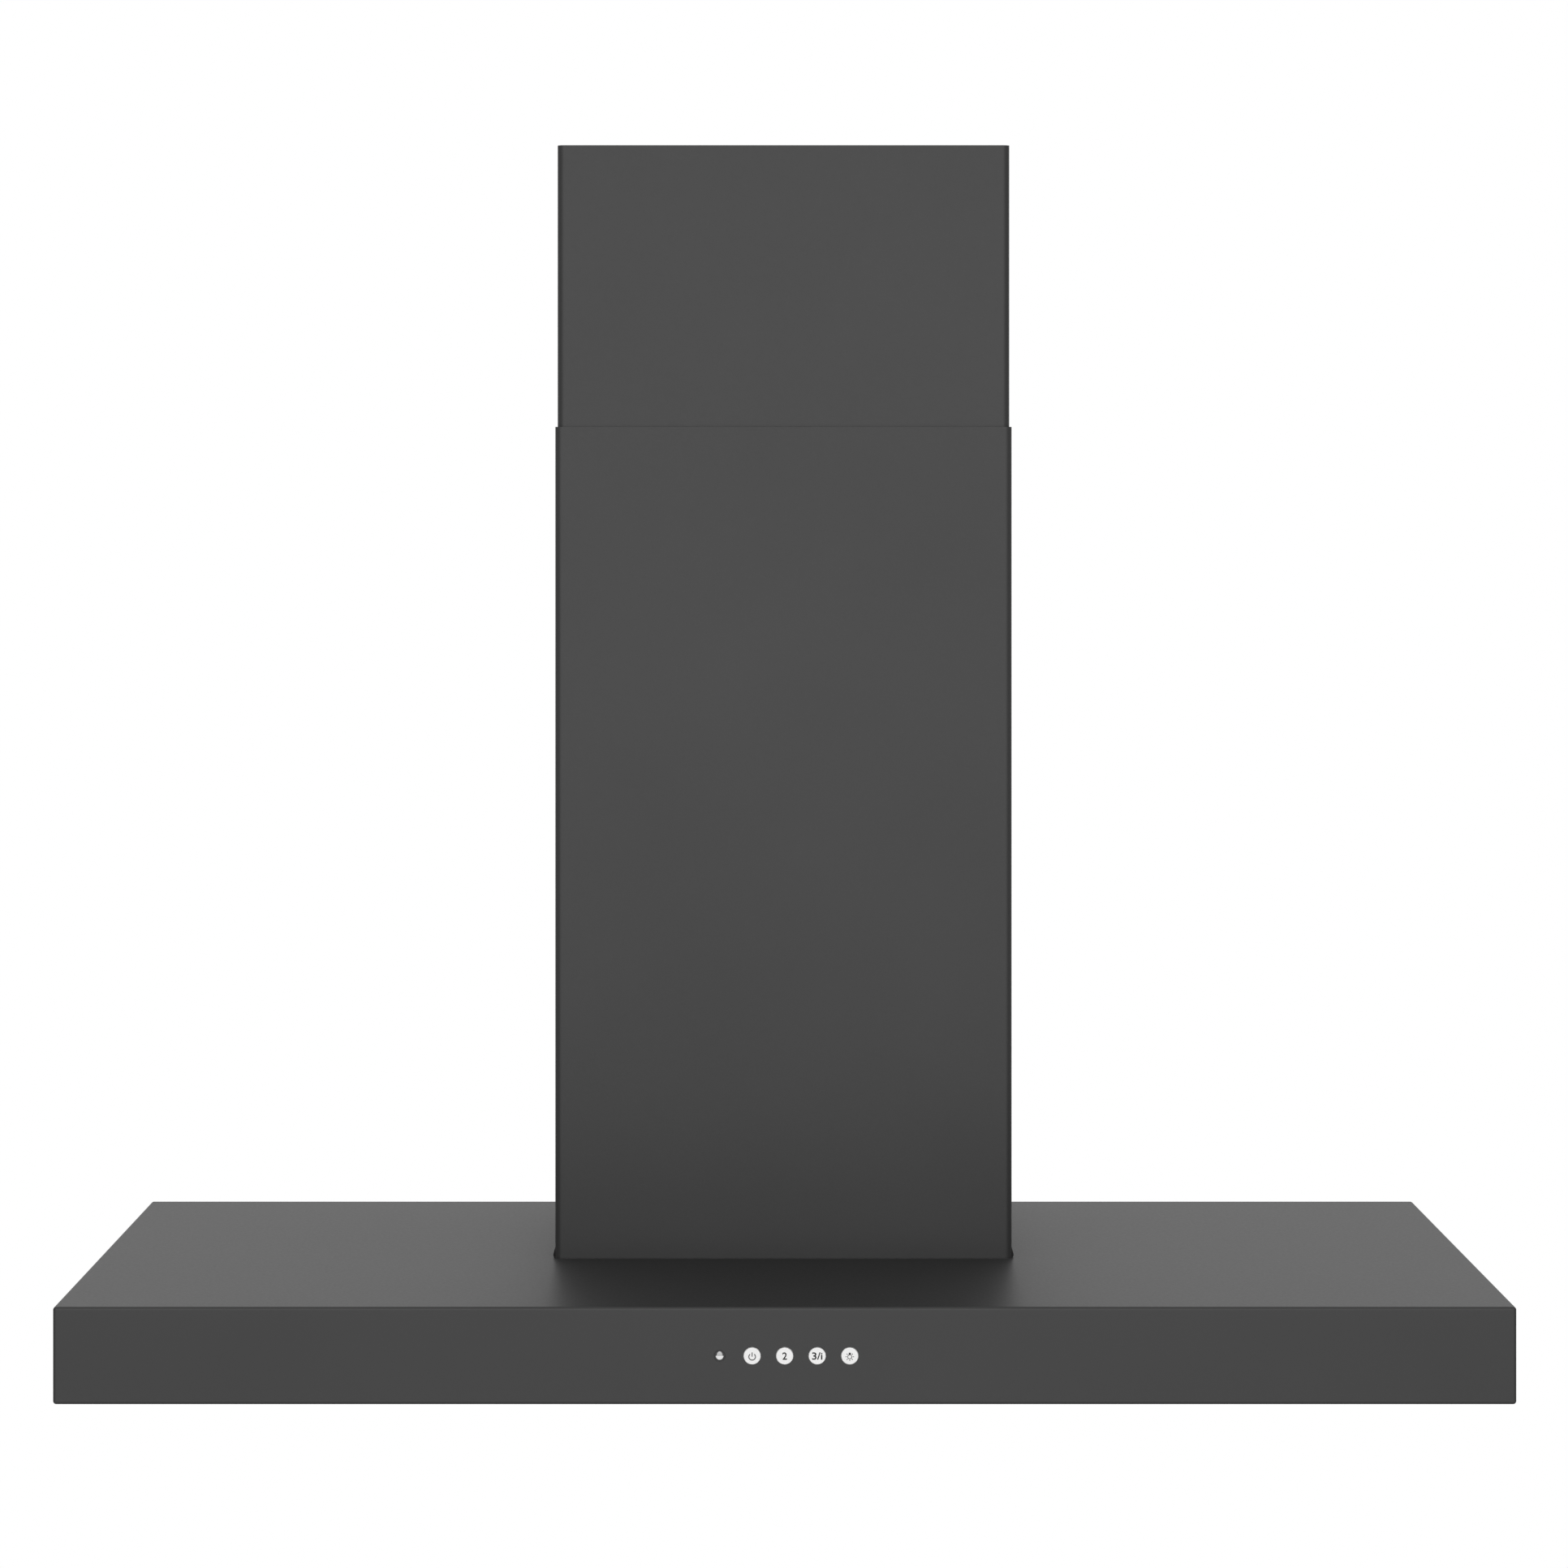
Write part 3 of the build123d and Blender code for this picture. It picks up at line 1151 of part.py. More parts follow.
def motor_spider():
    """Three-armed plate that carries the motor in the scroll's right inlet."""
    x = (SPIDER_X, SPIDER_X + SPIDER_SHEET)
    plate = fan_bar(x, MOTOR_RADIUS)
    reach = SPIDER_BOLT_RADIUS + SPIDER_EDGE
    arm = block(x, (FAN_Y - SPIDER_ARM / 2, FAN_Y + SPIDER_ARM / 2), (FAN_Z, FAN_Z + reach))
    axis = Axis((0, FAN_Y, FAN_Z), (1, 0, 0))
    plate += [arm.rotate(axis, angle) for angle in SPIDER_ARM_ANGLES]
    plate -= fan_bar(grow(x, CUT), SPIDER_BORE)
    return drill(plate, spider_seats() + motor_seats(), SCREW_HOLE, CUT)


def motor_grommets():
    """Rubber rings between the spider and the scroll."""
    rings = []
    for place in spider_seats():
        low = Pos(0, 0, -SPIDER_SHEET) * Cylinder(GROMMET_RADIUS, GROMMET_HEIGHT, align=HUNG)
        rings.append(place * (low - Cylinder(SCREW_HOLE, 4 * GROMMET_HEIGHT)))
    return group(rings)


def outlet_collar():
    """Moulded transition from the scroll's outlet to a round duct, with the damper's ledge."""
    screw_x = SCROLL_HALF + OUTLET_FLANGE
    flange_y = grow(OUTLET_Y, SCROLL_WALL + COLLAR_FLANGE_EDGE)
    flange_z = (BOX_TOP, BOX_TOP + COLLAR_FLANGE)
    middle_y = sum(OUTLET_Y) / 2
    length = OUTLET_Y[1] - OUTLET_Y[0]

    def funnel(wall, low, high):
        bottom = Pos(0, middle_y, low) * Rectangle(2 * (SCROLL_HALF - SCROLL_WALL + wall), length + 2 * wall)
        top = Pos(0, COLLAR_Y, high) * Circle(COLLAR_INSIDE + wall)
        return loft([bottom, top])

    hole = block(both(SCROLL_HALF - SCROLL_WALL), OUTLET_Y, grow(flange_z, CUT))
    collar = block(both(screw_x), flange_y, flange_z) - hole
    collar += funnel(COLLAR_WALL, flange_z[1], COLLAR_BOTTOM) - funnel(0, flange_z[1], COLLAR_BOTTOM)
    pipe_z = (COLLAR_BOTTOM, COLLAR_TOP)
    collar += collar_bar(pipe_z, COLLAR_RADIUS) - collar_bar(grow(pipe_z, CUT), COLLAR_INSIDE)
    ledge_top = DAMPER_Z - FLAP_SHEET / 2 - LEDGE_GAP
    ledge_z = (ledge_top - LEDGE_HEIGHT, ledge_top)
    ledge = collar_bar(ledge_z, COLLAR_INSIDE + COLLAR_WALL / 2)
    collar += ledge - collar_bar(ledge_z, COLLAR_INSIDE - LEDGE_WIDTH)
    pin_y = span(COLLAR_Y, 2 * (COLLAR_RADIUS + CUT))
    collar -= bar((0, pin_y[0], DAMPER_Z), (0, pin_y[1], DAMPER_Z), DAMPER_PIN_RADIUS + DAMPER_PIN_PLAY)
    return drill(collar, outlet_seats(), SCREW_HOLE, COLLAR_FLANGE + CUT)


def collar_bar(z, radius):
    """Upright round bar on the collar's axis."""
    return bar((0, COLLAR_Y, z[0]), (0, COLLAR_Y, z[1]), radius)


def damper_pin():
    """Pin across the collar that both flaps turn on."""
    y = span(COLLAR_Y, 2 * (COLLAR_RADIUS - DAMPER_PIN_INSET))
    return bar((0, y[0], DAMPER_Z), (0, y[1], DAMPER_Z), DAMPER_PIN_RADIUS)


def damper_flap(side):
    """Half-round flap with its share of the knuckles on the pin."""
    z = span(DAMPER_Z, FLAP_SHEET)
    root = KNUCKLE_RADIUS + FLAP_STEP
    radius = COLLAR_INSIDE - FLAP_GAP
    flap = collar_bar(z, radius) & side_block(side, (root, radius), span(COLLAR_Y, 2 * radius), z)
    first = 0 if side < 0 else 1
    hole = DAMPER_PIN_RADIUS + DAMPER_PIN_PLAY
    cut = bar((0, COLLAR_Y - radius, DAMPER_Z), (0, COLLAR_Y + radius, DAMPER_Z), hole)
    for place in range(first, KNUCKLE_COUNT, 2):
        middle = COLLAR_Y + (place - (KNUCKLE_COUNT - 1) / 2) * KNUCKLE_LENGTH
        y = span(middle, KNUCKLE_LENGTH - KNUCKLE_GAP)
        flap += bar((0, y[0], DAMPER_Z), (0, y[1], DAMPER_Z), KNUCKLE_RADIUS)
        flap += side_block(side, (0, root + FLAP_STEP), y, z)
    return flap - cut


# Electrics


def lead_holes():
    """Holes through the box's right side and the case's floor for the leads."""
    x = (BOX_INSIDE - CUT, BOX_HALF + CASE_WALL + CUT)
    motor = fan_bar(x, LEAD_HOLE_RADIUS)
    control = bar((x[0], CONTROL_LEAD_Y, FAN_Z), (x[1], CONTROL_LEAD_Y, FAN_Z), LEAD_HOLE_RADIUS)
    return [motor, control]


def control_case():
    """Tray on the blower box's right side, with posts for the lid's screws."""
    case = block((BOX_HALF, CASE_X), CASE_Y, CASE_Z)
    case -= block((BOX_HALF + CASE_WALL, CASE_X + CUT), grow(CASE_Y, -CASE_WALL), grow(CASE_Z, -CASE_WALL))
    for place in lid_seats():
        case += place * Pos(0, 0, -LID_SHEET) * Cylinder(CASE_POST_RADIUS, CASE_DEPTH, align=HUNG)
    case -= lead_holes()
    gland_z = (CASE_Z[1] - CUT, CASE_Z[1] + CUT)
    neck = GLAND_NECK_RADIUS + GLAND_PLAY
    case -= bar((GLAND_X, GLAND_Y, gland_z[0]), (GLAND_X, GLAND_Y, gland_z[1]), neck)
    return drill(case, lid_seats(), SCREW_HOLE, LID_SHEET + 2 * SCREW_PAST)


def case_lid():
    """Flat lid of the control case."""
    lid = block((CASE_X, CASE_X + LID_SHEET), CASE_Y, CASE_Z)
    return drill(lid, lid_seats(), SCREW_HOLE, 2 * LID_SHEET)


def terminal_block():
    """Terminal strip on the case's floor."""
    x = (BOX_HALF + CASE_WALL, BOX_HALF + CASE_WALL + TERMINAL_DEPTH)
    top = CASE_Z[1] - CASE_WALL - 2 * TERMINAL_HEIGHT
    strip = block(x, span(GLAND_Y, TERMINAL_LENGTH), (top - TERMINAL_HEIGHT, top))
    pitch = TERMINAL_LENGTH / TERMINAL_POLES
    for place in range(TERMINAL_POLES):
        y = GLAND_Y + (place - (TERMINAL_POLES - 1) / 2) * pitch
        z = top - TERMINAL_HEIGHT / 2
        strip -= bar((x[1] - TERMINAL_HOLE_DEPTH, y, z), (x[1] + CUT, y, z), TERMINAL_HOLE_RADIUS)
    return strip


def cable_gland():
    """Gland in the case's top for the mains lead."""
    foot = CASE_Z[1]
    gland = extrude(RegularPolygon(GLAND_RADIUS, 6), GLAND_HEX)
    cap = Pos(0, 0, GLAND_HEX) * Cylinder(GLAND_CAP_RADIUS, GLAND_CAP, align=BASE)
    cap = fillet(cap.edges().group_by(Axis.Z)[-1], GLAND_CAP_RADIUS - GLAND_BORE - GLAND_LIP)
    gland += cap + Cylinder(GLAND_NECK_RADIUS, GLAND_NECK, align=HUNG)
    gland -= Cylinder(GLAND_BORE, 4 * (GLAND_HEX + GLAND_CAP))
    return Pos(GLAND_X, GLAND_Y, foot) * gland


def capacitor():
    """Round motor capacitor on the blower box's left side."""
    x = -BOX_HALF - CAPACITOR_STANDOFF - CAPACITOR_RADIUS
    z = span(FAN_Z, CAPACITOR_LENGTH)
    can = bar((x, FAN_Y, z[0]), (x, FAN_Y, z[1]), CAPACITOR_RADIUS)
    return fillet(can.edges().group_by(Axis.Z)[-1], CLIP_SHEET)


def capacitor_clip():
    """Band round the capacitor, with a foot on the blower box."""
    x = -BOX_HALF - CAPACITOR_STANDOFF - CAPACITOR_RADIUS
    z = span(FAN_Z, CLIP_HEIGHT)
    inner = CAPACITOR_RADIUS + CLIP_PLAY
    band = bar((x, FAN_Y, z[0]), (x, FAN_Y, z[1]), inner + CLIP_SHEET)
    band += block((x, -BOX_HALF), span(FAN_Y, CAPACITOR_RADIUS), z)
    return band - bar((x, FAN_Y, z[0] - CUT), (x, FAN_Y, z[1] + CUT), inner)


def lead(points):
    """Round lead along runs and tangent arcs, each arc as large as its runs allow."""
    corners = [Vector(point) for point in points]
    radii = []
    for before, corner, after in zip(corners, corners[1:], corners[2:]):
        run_in = corner - before
        run_out = after - corner
        turn = math.radians(run_in.get_angle(run_out))
        radii.append(LEAD_ARC_SHARE * min(run_in.length, run_out.length) / math.tan(turn / 2))
    print("lead bend radii:", [round(radius, 1) for radius in radii])
    path = FilletPolyline(*points, radius=radii)
    start = Plane(origin=path @ 0, z_dir=path % 0)
    return sweep(start * Circle(LEAD_RADIUS), path)


def wiring():
    """Leads to both lamps, to the control board and to the motor."""
    lamp_side = LAMP_X - NECK_RADIUS - LAMP_PLAY - HOUSING_WALL
    middle, last = connector_centres()[1:]
    plug = (last + CONNECTOR_SIZE / 2, BOARD_BACK + CONNECTOR_SIZE / 2, CONTROL_HEIGHT)
    lamp_lead = lead([(lamp_side, LAMP_Y, LAMP_LEAD_HEIGHT)] + LAMP_LEAD_ROUTE + [plug])

    wall = BOX_HALF + CASE_WALL
    socket = (middle, BOARD_BACK + CONNECTOR_SIZE, CONTROL_HEIGHT)
    control_lead = lead([socket] + CONTROL_LEAD_ROUTE + [(wall, CONTROL_LEAD_Y, FAN_Z)])
    motor_lead = lead([(SPIDER_X, FAN_Y, FAN_Z)] + MOTOR_LEAD_ROUTE + [(wall, FAN_Y, FAN_Z)])
    return group([lamp_lead, mirror(lamp_lead, Plane.YZ), control_lead, motor_lead])


def lead_clip(start, end):
    """Saddle under the canopy's top, round the middle of a lead's run."""
    middle = (Vector(start) + Vector(end)) / 2
    half = (Vector(end) - Vector(start)).normalized() * LEAD_CLIP_LENGTH / 2
    turn = math.degrees(math.atan2(half.Y, half.X))
    place = Pos(middle.X, middle.Y, INNER_TOP) * Rot(0, 0, turn)
    length, width = LEAD_CLIP_FOOT
    clip = bar(middle - half, middle + half, LEAD_HOLE_RADIUS + LEAD_CLIP_WALL)
    clip += place * Box(length, LEAD_CLIP_WEB, INNER_TOP - middle.Z, align=HUNG)
    clip += place * Box(length, width, LEAD_CLIP_SHEET, align=HUNG)
    return clip - bar(middle - 2 * half, middle + 2 * half, LEAD_HOLE_RADIUS)


def lead_clips():
    """Clips that hold the control lead under the canopy's top."""
    route = CONTROL_LEAD_ROUTE
    return group([lead_clip(route[point - 1], route[point]) for point in LEAD_CLIP_POINTS])


def fixing_screws():
    """All screws of the fixed pieces."""
    sets = [
        (bracket_foot_seats(), BRACKET_SHEET + CANOPY_SHEET),
        (plate_foot_seats(), PLATE_SHEET + CANOPY_SHEET),
        (box_foot_seats(), BOX_SHEET + CANOPY_SHEET),
        (cover_seats(), 2 * BOX_SHEET),
        (outlet_seats(), COLLAR_FLANGE + BOX_SHEET + OUTLET_FLANGE_SHEET),
        (scroll_lug_seats(), 2 * SCROLL_LUG_LENGTH),
        (inlet_seats(), INLET_LIP + SCROLL_WALL - SCREW_PAST),
        (spider_seats(), SPIDER_SHEET + GROMMET_HEIGHT + SCROLL_WALL - SCREW_PAST),
        (motor_seats(), SPIDER_SHEET),
        (lid_seats(), LID_SHEET),
        (board_seats(), BOARD_SHEET),
    ]
    pieces = [screw(place, depth + SCREW_PAST) for places, depth in sets for place in places]
    pieces += [screw(place, BOX_SHEET + PLATE_SHEET - SCREW_PLAY) for place in box_rear_seats()]
    return group(pieces)


def all_nodes():
    """Every node by name."""
    nodes = {
        "canopy_shell": canopy_shell(),
        "canopy_back": canopy_back(),
        "filter_tray": filter_tray(),
        "filter_hooks": filter_hooks(),
        "lamp_bezels": lamp_pair(lamp_bezel()),
        "lamp_lenses": lamp_pair(lamp_lens()),
        "lamp_housings": lamp_pair(lamp_housing()),
        "button_carrier": button_carrier(),
        "push_switches": push_switches(),
        "control_board": control_board(),
        "indicator_lens": indicator_lens(),
        "indicator_ring": indicator_ring(),
        "lower_chimney": lower_chimney(),
        "upper_chimney": upper_chimney(),
        "base_seals": base_seals(),
        "chimney_brackets": chimney_brackets(),
        "chimney_nuts": group([nut(place) for place in bracket_stud_seats(BRACKET_SHEET)]),
        "ceiling_bracket": ceiling_bracket(),
        "ceiling_nuts": group([nut(place) for place in ceiling_stud_seats(BRACKET_SHEET)]),
        "wall_plate": wall_plate(),
        "blower_box": blower_box(),
        "blower_cover": blower_cover(),
        "scroll_left": scroll_half(-1),
        "scroll_right": scroll_half(1),
        "inlet_ring": inlet_ring(),
        "impeller": impeller(),
        "motor_can": motor_can(),
        "motor_cap": motor_cap(),
        "motor_stator": fan_bar(STACK_X, STATOR_RADIUS) - fan_bar(STACK_X, STATOR_RADIUS - STATOR_DEPTH),
        "motor_rotor": fan_bar(STACK_X, ROTOR_RADIUS) - fan_bar(STACK_X, SHAFT_RADIUS),
        "motor_bearings": motor_bearings(),
        "motor_shaft": fan_bar((-HUB_LENGTH, CAP_NEAR + BEARING_WIDTH), SHAFT_RADIUS),
        "motor_spider": motor_spider(),
        "motor_grommets": motor_grommets(),
        "outlet_collar": outlet_collar(),
        "damper_pin": damper_pin(),
        "damper_flap_left": damper_flap(-1),
        "damper_flap_right": damper_flap(1),
        "control_case": control_case(),
        "case_lid": case_lid(),
        "terminal_block": terminal_block(),
        "cable_gland": cable_gland(),
        "capacitor": capacitor(),
        "capacitor_clip": capacitor_clip(),
        "wiring": wiring(),
        "lead_clips": lead_clips(),
        "fixing_screws": fixing_screws(),
    }
    for name, x in zip(BUTTON_NAMES, BUTTON_XS):
        nodes[f"button_{name}"] = push_button(x)
    for name, x in zip(FILTER_NAMES, filter_centres()):
        nodes[f"filter_frame_{name}"] = filter_frame(x)
        nodes[f"filter_baffles_{name}"] = filter_baffles(x)
        nodes[f"filter_latch_{name}"] = filter_latch(x)
    return nodes


os.makedirs("parts", exist_ok=True)
for node_name, shape in all_nodes().items():
    export_step(shape, f"parts/{node_name}.step")
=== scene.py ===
"""Finishes, small fittings, leads, light and camera of a wall-hung chimney range hood.

Metres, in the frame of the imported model: X runs to the right, Y into the wall and Z up.
"""

import json
import math

import bmesh
import bpy
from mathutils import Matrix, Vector


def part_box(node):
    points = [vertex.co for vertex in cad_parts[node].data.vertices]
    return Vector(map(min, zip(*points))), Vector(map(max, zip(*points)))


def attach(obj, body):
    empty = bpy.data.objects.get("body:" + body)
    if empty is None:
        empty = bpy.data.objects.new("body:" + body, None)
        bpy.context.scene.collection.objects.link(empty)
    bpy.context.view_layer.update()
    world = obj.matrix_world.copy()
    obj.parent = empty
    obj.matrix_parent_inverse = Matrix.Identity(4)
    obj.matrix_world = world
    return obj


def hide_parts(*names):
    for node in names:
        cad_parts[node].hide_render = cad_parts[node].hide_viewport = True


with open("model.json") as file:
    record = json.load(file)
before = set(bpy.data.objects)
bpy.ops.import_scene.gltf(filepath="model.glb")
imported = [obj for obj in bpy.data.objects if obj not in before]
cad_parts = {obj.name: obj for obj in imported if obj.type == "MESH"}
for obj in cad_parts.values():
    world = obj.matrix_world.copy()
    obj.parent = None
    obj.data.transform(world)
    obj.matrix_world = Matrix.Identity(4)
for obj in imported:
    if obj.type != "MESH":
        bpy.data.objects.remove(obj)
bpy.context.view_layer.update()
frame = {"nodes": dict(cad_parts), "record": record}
NODES = frame["nodes"]
SCENE = bpy.context.scene
MM = 0.001
QUARTER_TURN = math.pi / 2
MERGE_REACH = 0.001 * MM
SAME_PLACE = 0.005 * MM
SMOOTH_ANGLE = math.radians(40)

# Camera, as the photograph was taken: level, a little left of the middle, with a shifted lens
CAMERA_PLACE = (-0.0115, -3.617, 0.529)
CAMERA_LENS = 116.42
CAMERA_SENSOR = 36.0
PHOTO_SIDE = 1932
PHOTO_HORIZON = 670.4
PHOTO_VANISHING = 943.8

# Light
SURROUNDINGS_LIGHT = 0.5
STUDIO_LEFT = (-0.75, -2.6, 0.8)
STUDIO_LEFT_WATTS = 12.5
STUDIO_RIGHT = (0.85, -2.6, 0.7)
STUDIO_RIGHT_WATTS = 11.6
STUDIO_AIM = Vector((0, -0.2, 0.4))
STUDIO_SIDE = 1.8
FLOOR_DROP = 0.75
FLOOR_RADIUS = 9.0
FLOOR_STEPS = 96
FLOOR_PALE = (0.92, 0.92, 0.92, 1)
FLOOR_FADE = (1.1, 2.2)
CARD_REACH = 1.5
CARD_SPAN = (-3.6, 0.6)
CARD_HEIGHT = (-0.6, 1.7)
CARD_LEVEL = 0.52

# Button marks
MARK_PROUD = 0.04 * MM
MARK_SUNK = 0.15 * MM
MARK_DROP = 0.45 * MM
POWER_RADIUS = 2.3 * MM
POWER_STROKE = 0.55 * MM
POWER_GAP = 38
POWER_BAR = (0.1 * MM, 2.7 * MM)
FIGURE_HEIGHT = 4.6 * MM
FIGURE_WEIGHT = 0.035
TWO_WIDTH = 2.85 * MM
THREE_WIDTH = 6.45 * MM
LAMP_RADIUS = 1.45 * MM
LAMP_STROKE = 0.38 * MM
LAMP_RAY = (1.8 * MM, 2.65 * MM)
LAMP_RAYS = 8
LAMP_CAP = (1.25 * MM, 1.3 * MM, 2.5 * MM)
RING_STEPS = 64

# Indicator: a dished ring, a milky cup and a narrower grey hood above it; the hood's grey is painted
# shade on the lens's upper half
DISH_RADIUS = 3.68 * MM
DISH_LIP_RADIUS = 3.55 * MM
DISH_FLOOR_RADIUS = 3.2 * MM
DISH_BORE_RADIUS = 1.2 * MM
DISH_DEPTH = 0.35 * MM
DISH_LENGTH = 2.9 * MM
DISH_PROFILE = [
    (DISH_RADIUS, 0.0),
    (DISH_LIP_RADIUS, 0.0),
    (DISH_FLOOR_RADIUS, -DISH_DEPTH),
    (DISH_BORE_RADIUS, -DISH_DEPTH),
    (DISH_BORE_RADIUS, -DISH_LENGTH),
    (DISH_RADIUS, -DISH_LENGTH),
    (DISH_RADIUS, 0.0),
]
CUP_SIZE = (2.4 * MM, 0.6 * MM, 2.45 * MM)
PAINTED_SHADE_SIZE = (1.9 * MM, 0.55 * MM, 2.8 * MM)
LENS_RINGS = 20

# Filter rivets
RIVET_RADIUS = 2.4 * MM
RIVET_HEIGHT = 0.864 * MM
RIVET_INSET = 6.0 * MM
RIVET_RINGS = 10

# Finger grips of the filter latches, as width, depth and height
GRIP_SETBACK = 10.2 * MM
GRIP_BEAD = (18.0 * MM, 4.4 * MM, 2.4 * MM)
GRIP_BEAD_ROUND = 1.0 * MM
GRIP_RIB = (14.0 * MM, 3.9 * MM, 0.8 * MM)
GRIP_RIB_ROUND = 0.3 * MM
GRIP_RIB_RISES = (3.2 * MM, 4.5 * MM)
GRIP_ROUND_STEPS = 3

# Lamp insides; the profiles give radii and heights, upwards from the lens
REFLECTOR_GAP = 0.3 * MM
REFLECTOR_PROFILE = [
    (21.2 * MM, 0.0),
    (20.6 * MM, 2.5 * MM),
    (19.4 * MM, 5.5 * MM),
    (17.4 * MM, 8.5 * MM),
    (14.4 * MM, 11.5 * MM),
    (10.6 * MM, 14.0 * MM),
]
REFLECTOR_SHEET = 0.5 * MM
PLATE_PROFILE = [
    (6.0 * MM, 0.0),
    (10.2 * MM, 0.0),
    (10.8 * MM, 0.4 * MM),
    (10.8 * MM, 2.6 * MM),
]
CHIP_SIZE = (3.2 * MM, 3.2 * MM, 0.8 * MM)
CHIP_EDGE = 0.25 * MM
CHIP_EDGE_STEPS = 2
CHIP_FRAME = 0.45 * MM
CHIP_WELL = 0.2 * MM
CHIP_RING = 6.4 * MM
CHIP_COUNT = 6

# Capacitor tabs
TAB_SIZE = (6.3 * MM, 8.0 * MM)
TAB_SHEET = 0.8 * MM
TAB_CORNER = 1.4 * MM
TAB_PITCH = 11.0 * MM

# Leads; the routes are in millimetres and the lengths in metres
LEAD_RADIUS = 2.5 * MM
LEAD_ROUNDNESS = 5
LEAD_STEPS = 12
LAMP_LEAD_ROUTE = [
    (269, -445, 24),
    (247, -445, 24),
    (212, -450, 16),
    (165, -459, 11.7),
    (115, -457, 11.7),
    (84, -463, 17),
    (61, -475.2, 30),
    (39, -475.2, 30),
]
CONTROL_LEAD_ROUTE = [
    (0, -470.2, 30),
    (0, -446, 30),
    (3, -424, 40),
    (10, -388, 51),
    (24, -338, 50),
    (43, -290, 51),
    (62, -246, 50.5),
    (76, -210, 66),
    (82, -192, 100),
    (80, -189.1, 138),
    (80, -189.1, 165),
    (84.5, -189.1, 180),
    (95.5, -189.1, 189.6),
    (109.7, -189.1, 189.6),
]
MOTOR_LEAD_ROUTE = [
    (59.7, -119.1, 189.6),
    (70, -119.1, 189.6),
    (84.5, -119.1, 185.6),
    (98.5, -119.1, 189.6),
    (109.7, -119.1, 189.6),
]


# Finishes


class Finish:
    """A material being made: its nodes, its shader and the piece's own coordinates."""

    def __init__(self, name, values):
        self.material = bpy.data.materials.new(name)
        self.material.use_nodes = True
        self.nodes = self.material.node_tree.nodes
        self.links = self.material.node_tree.links
        self.shader = self.nodes["Principled BSDF"]
        self.place = self.nodes.new("ShaderNodeTexCoord").outputs["Object"]
        for socket, value in values.items():
            self.shader.inputs[socket].default_value = value

    def feed(self, socket, output):
        """Links an output to one of the shader's sockets."""
        self.links.new(output, self.shader.inputs[socket])

    def stretched(self, scale):
        """The piece's coordinates, stretched along the axes."""
        mapping = self.nodes.new("ShaderNodeMapping")
        mapping.inputs["Scale"].default_value = scale
        self.links.new(self.place, mapping.inputs["Vector"])
        return mapping.outputs["Vector"]

    def ragged(self, scale, reach):
        """The piece's coordinates, pushed about so that edges turn ragged."""
        texture = self.nodes.new("ShaderNodeTexNoise")
        texture.inputs["Scale"].default_value = scale
        self.links.new(self.place, texture.inputs["Vector"])
        push = self.nodes.new("ShaderNodeVectorMath")
        push.operation = "MULTIPLY_ADD"
        push.inputs[1].default_value = (reach, reach, reach)
        self.links.new(texture.outputs["Color"], push.inputs[0])
        self.links.new(self.place, push.inputs[2])
        return push.outputs["Vector"]

    def noise(self, scale, detail=2.0, place=None):
        """Cloudy values; the scale is in clouds per metre."""
        texture = self.nodes.new("ShaderNodeTexNoise")
        texture.inputs["Scale"].default_value = scale
        texture.inputs["Detail"].default_value = detail
        self.links.new(place or self.place, texture.inputs["Vector"])
        return texture.outputs["Fac"]

    def cells(self, scale, output, feature="F1", place=None):
        """Crystal-like cells; the scale is in cells per metre."""
        texture = self.nodes.new("ShaderNodeTexVoronoi")
        texture.feature = feature
        texture.inputs["Scale"].default_value = scale
        self.links.new(place or self.place, texture.inputs["Vector"])
        return texture.outputs[output]

    def stripes(self, scale, axis):
        """Fine bands across an axis, about three to the metre at a scale of one."""
        texture = self.nodes.new("ShaderNodeTexWave")
        texture.bands_direction = axis
        texture.inputs["Scale"].default_value = scale
        self.links.new(self.place, texture.inputs["Vector"])
        return texture.outputs["Fac"]

    def single(self, colour):
        """One channel of a colour, as a value."""
        split = self.nodes.new("ShaderNodeSeparateColor")
        self.links.new(colour, split.inputs["Color"])
        return split.outputs["Red"]

    def spread(self, value, low, high):
        """A value between 0 and 1 spread over a range."""
        node = self.nodes.new("ShaderNodeMapRange")
        node.inputs["To Min"].default_value = low
        node.inputs["To Max"].default_value = high
        self.links.new(value, node.inputs["Value"])
        return node.outputs["Result"]

    def blend(self, first, second, share):
        """Mean of two values, with the second one's share."""
        node = self.nodes.new("ShaderNodeMix")
        node.inputs["Factor"].default_value = share
        self.links.new(first, node.inputs["A"])
        self.links.new(second, node.inputs["B"])
        return node.outputs["Result"]

    def tint(self, value, stops):
        """Colours laid along a value."""
        node = self.nodes.new("ShaderNodeValToRGB")
        low, high = node.color_ramp.elements
        low.position, low.color = stops[0]
        high.position, high.color = stops[-1]
        for position, colour in stops[1:-1]:
            node.color_ramp.elements.new(position).color = colour
        self.links.new(value, node.inputs["Fac"])
        return node.outputs["Color"]

    def relief(self, height, strength, distance):
        """Small relief on the surface."""
        node = self.nodes.new("ShaderNodeBump")
        node.inputs["Strength"].default_value = strength
        node.inputs["Distance"].default_value = distance
        self.links.new(height, node.inputs["Height"])
        self.feed("Normal", node.outputs["Normal"])


def grey(level, warmth=0.0):
    """Grey of a linear level, a little warm or cool."""
    return (level * (1 + warmth), level, level * (1 - warmth), 1)


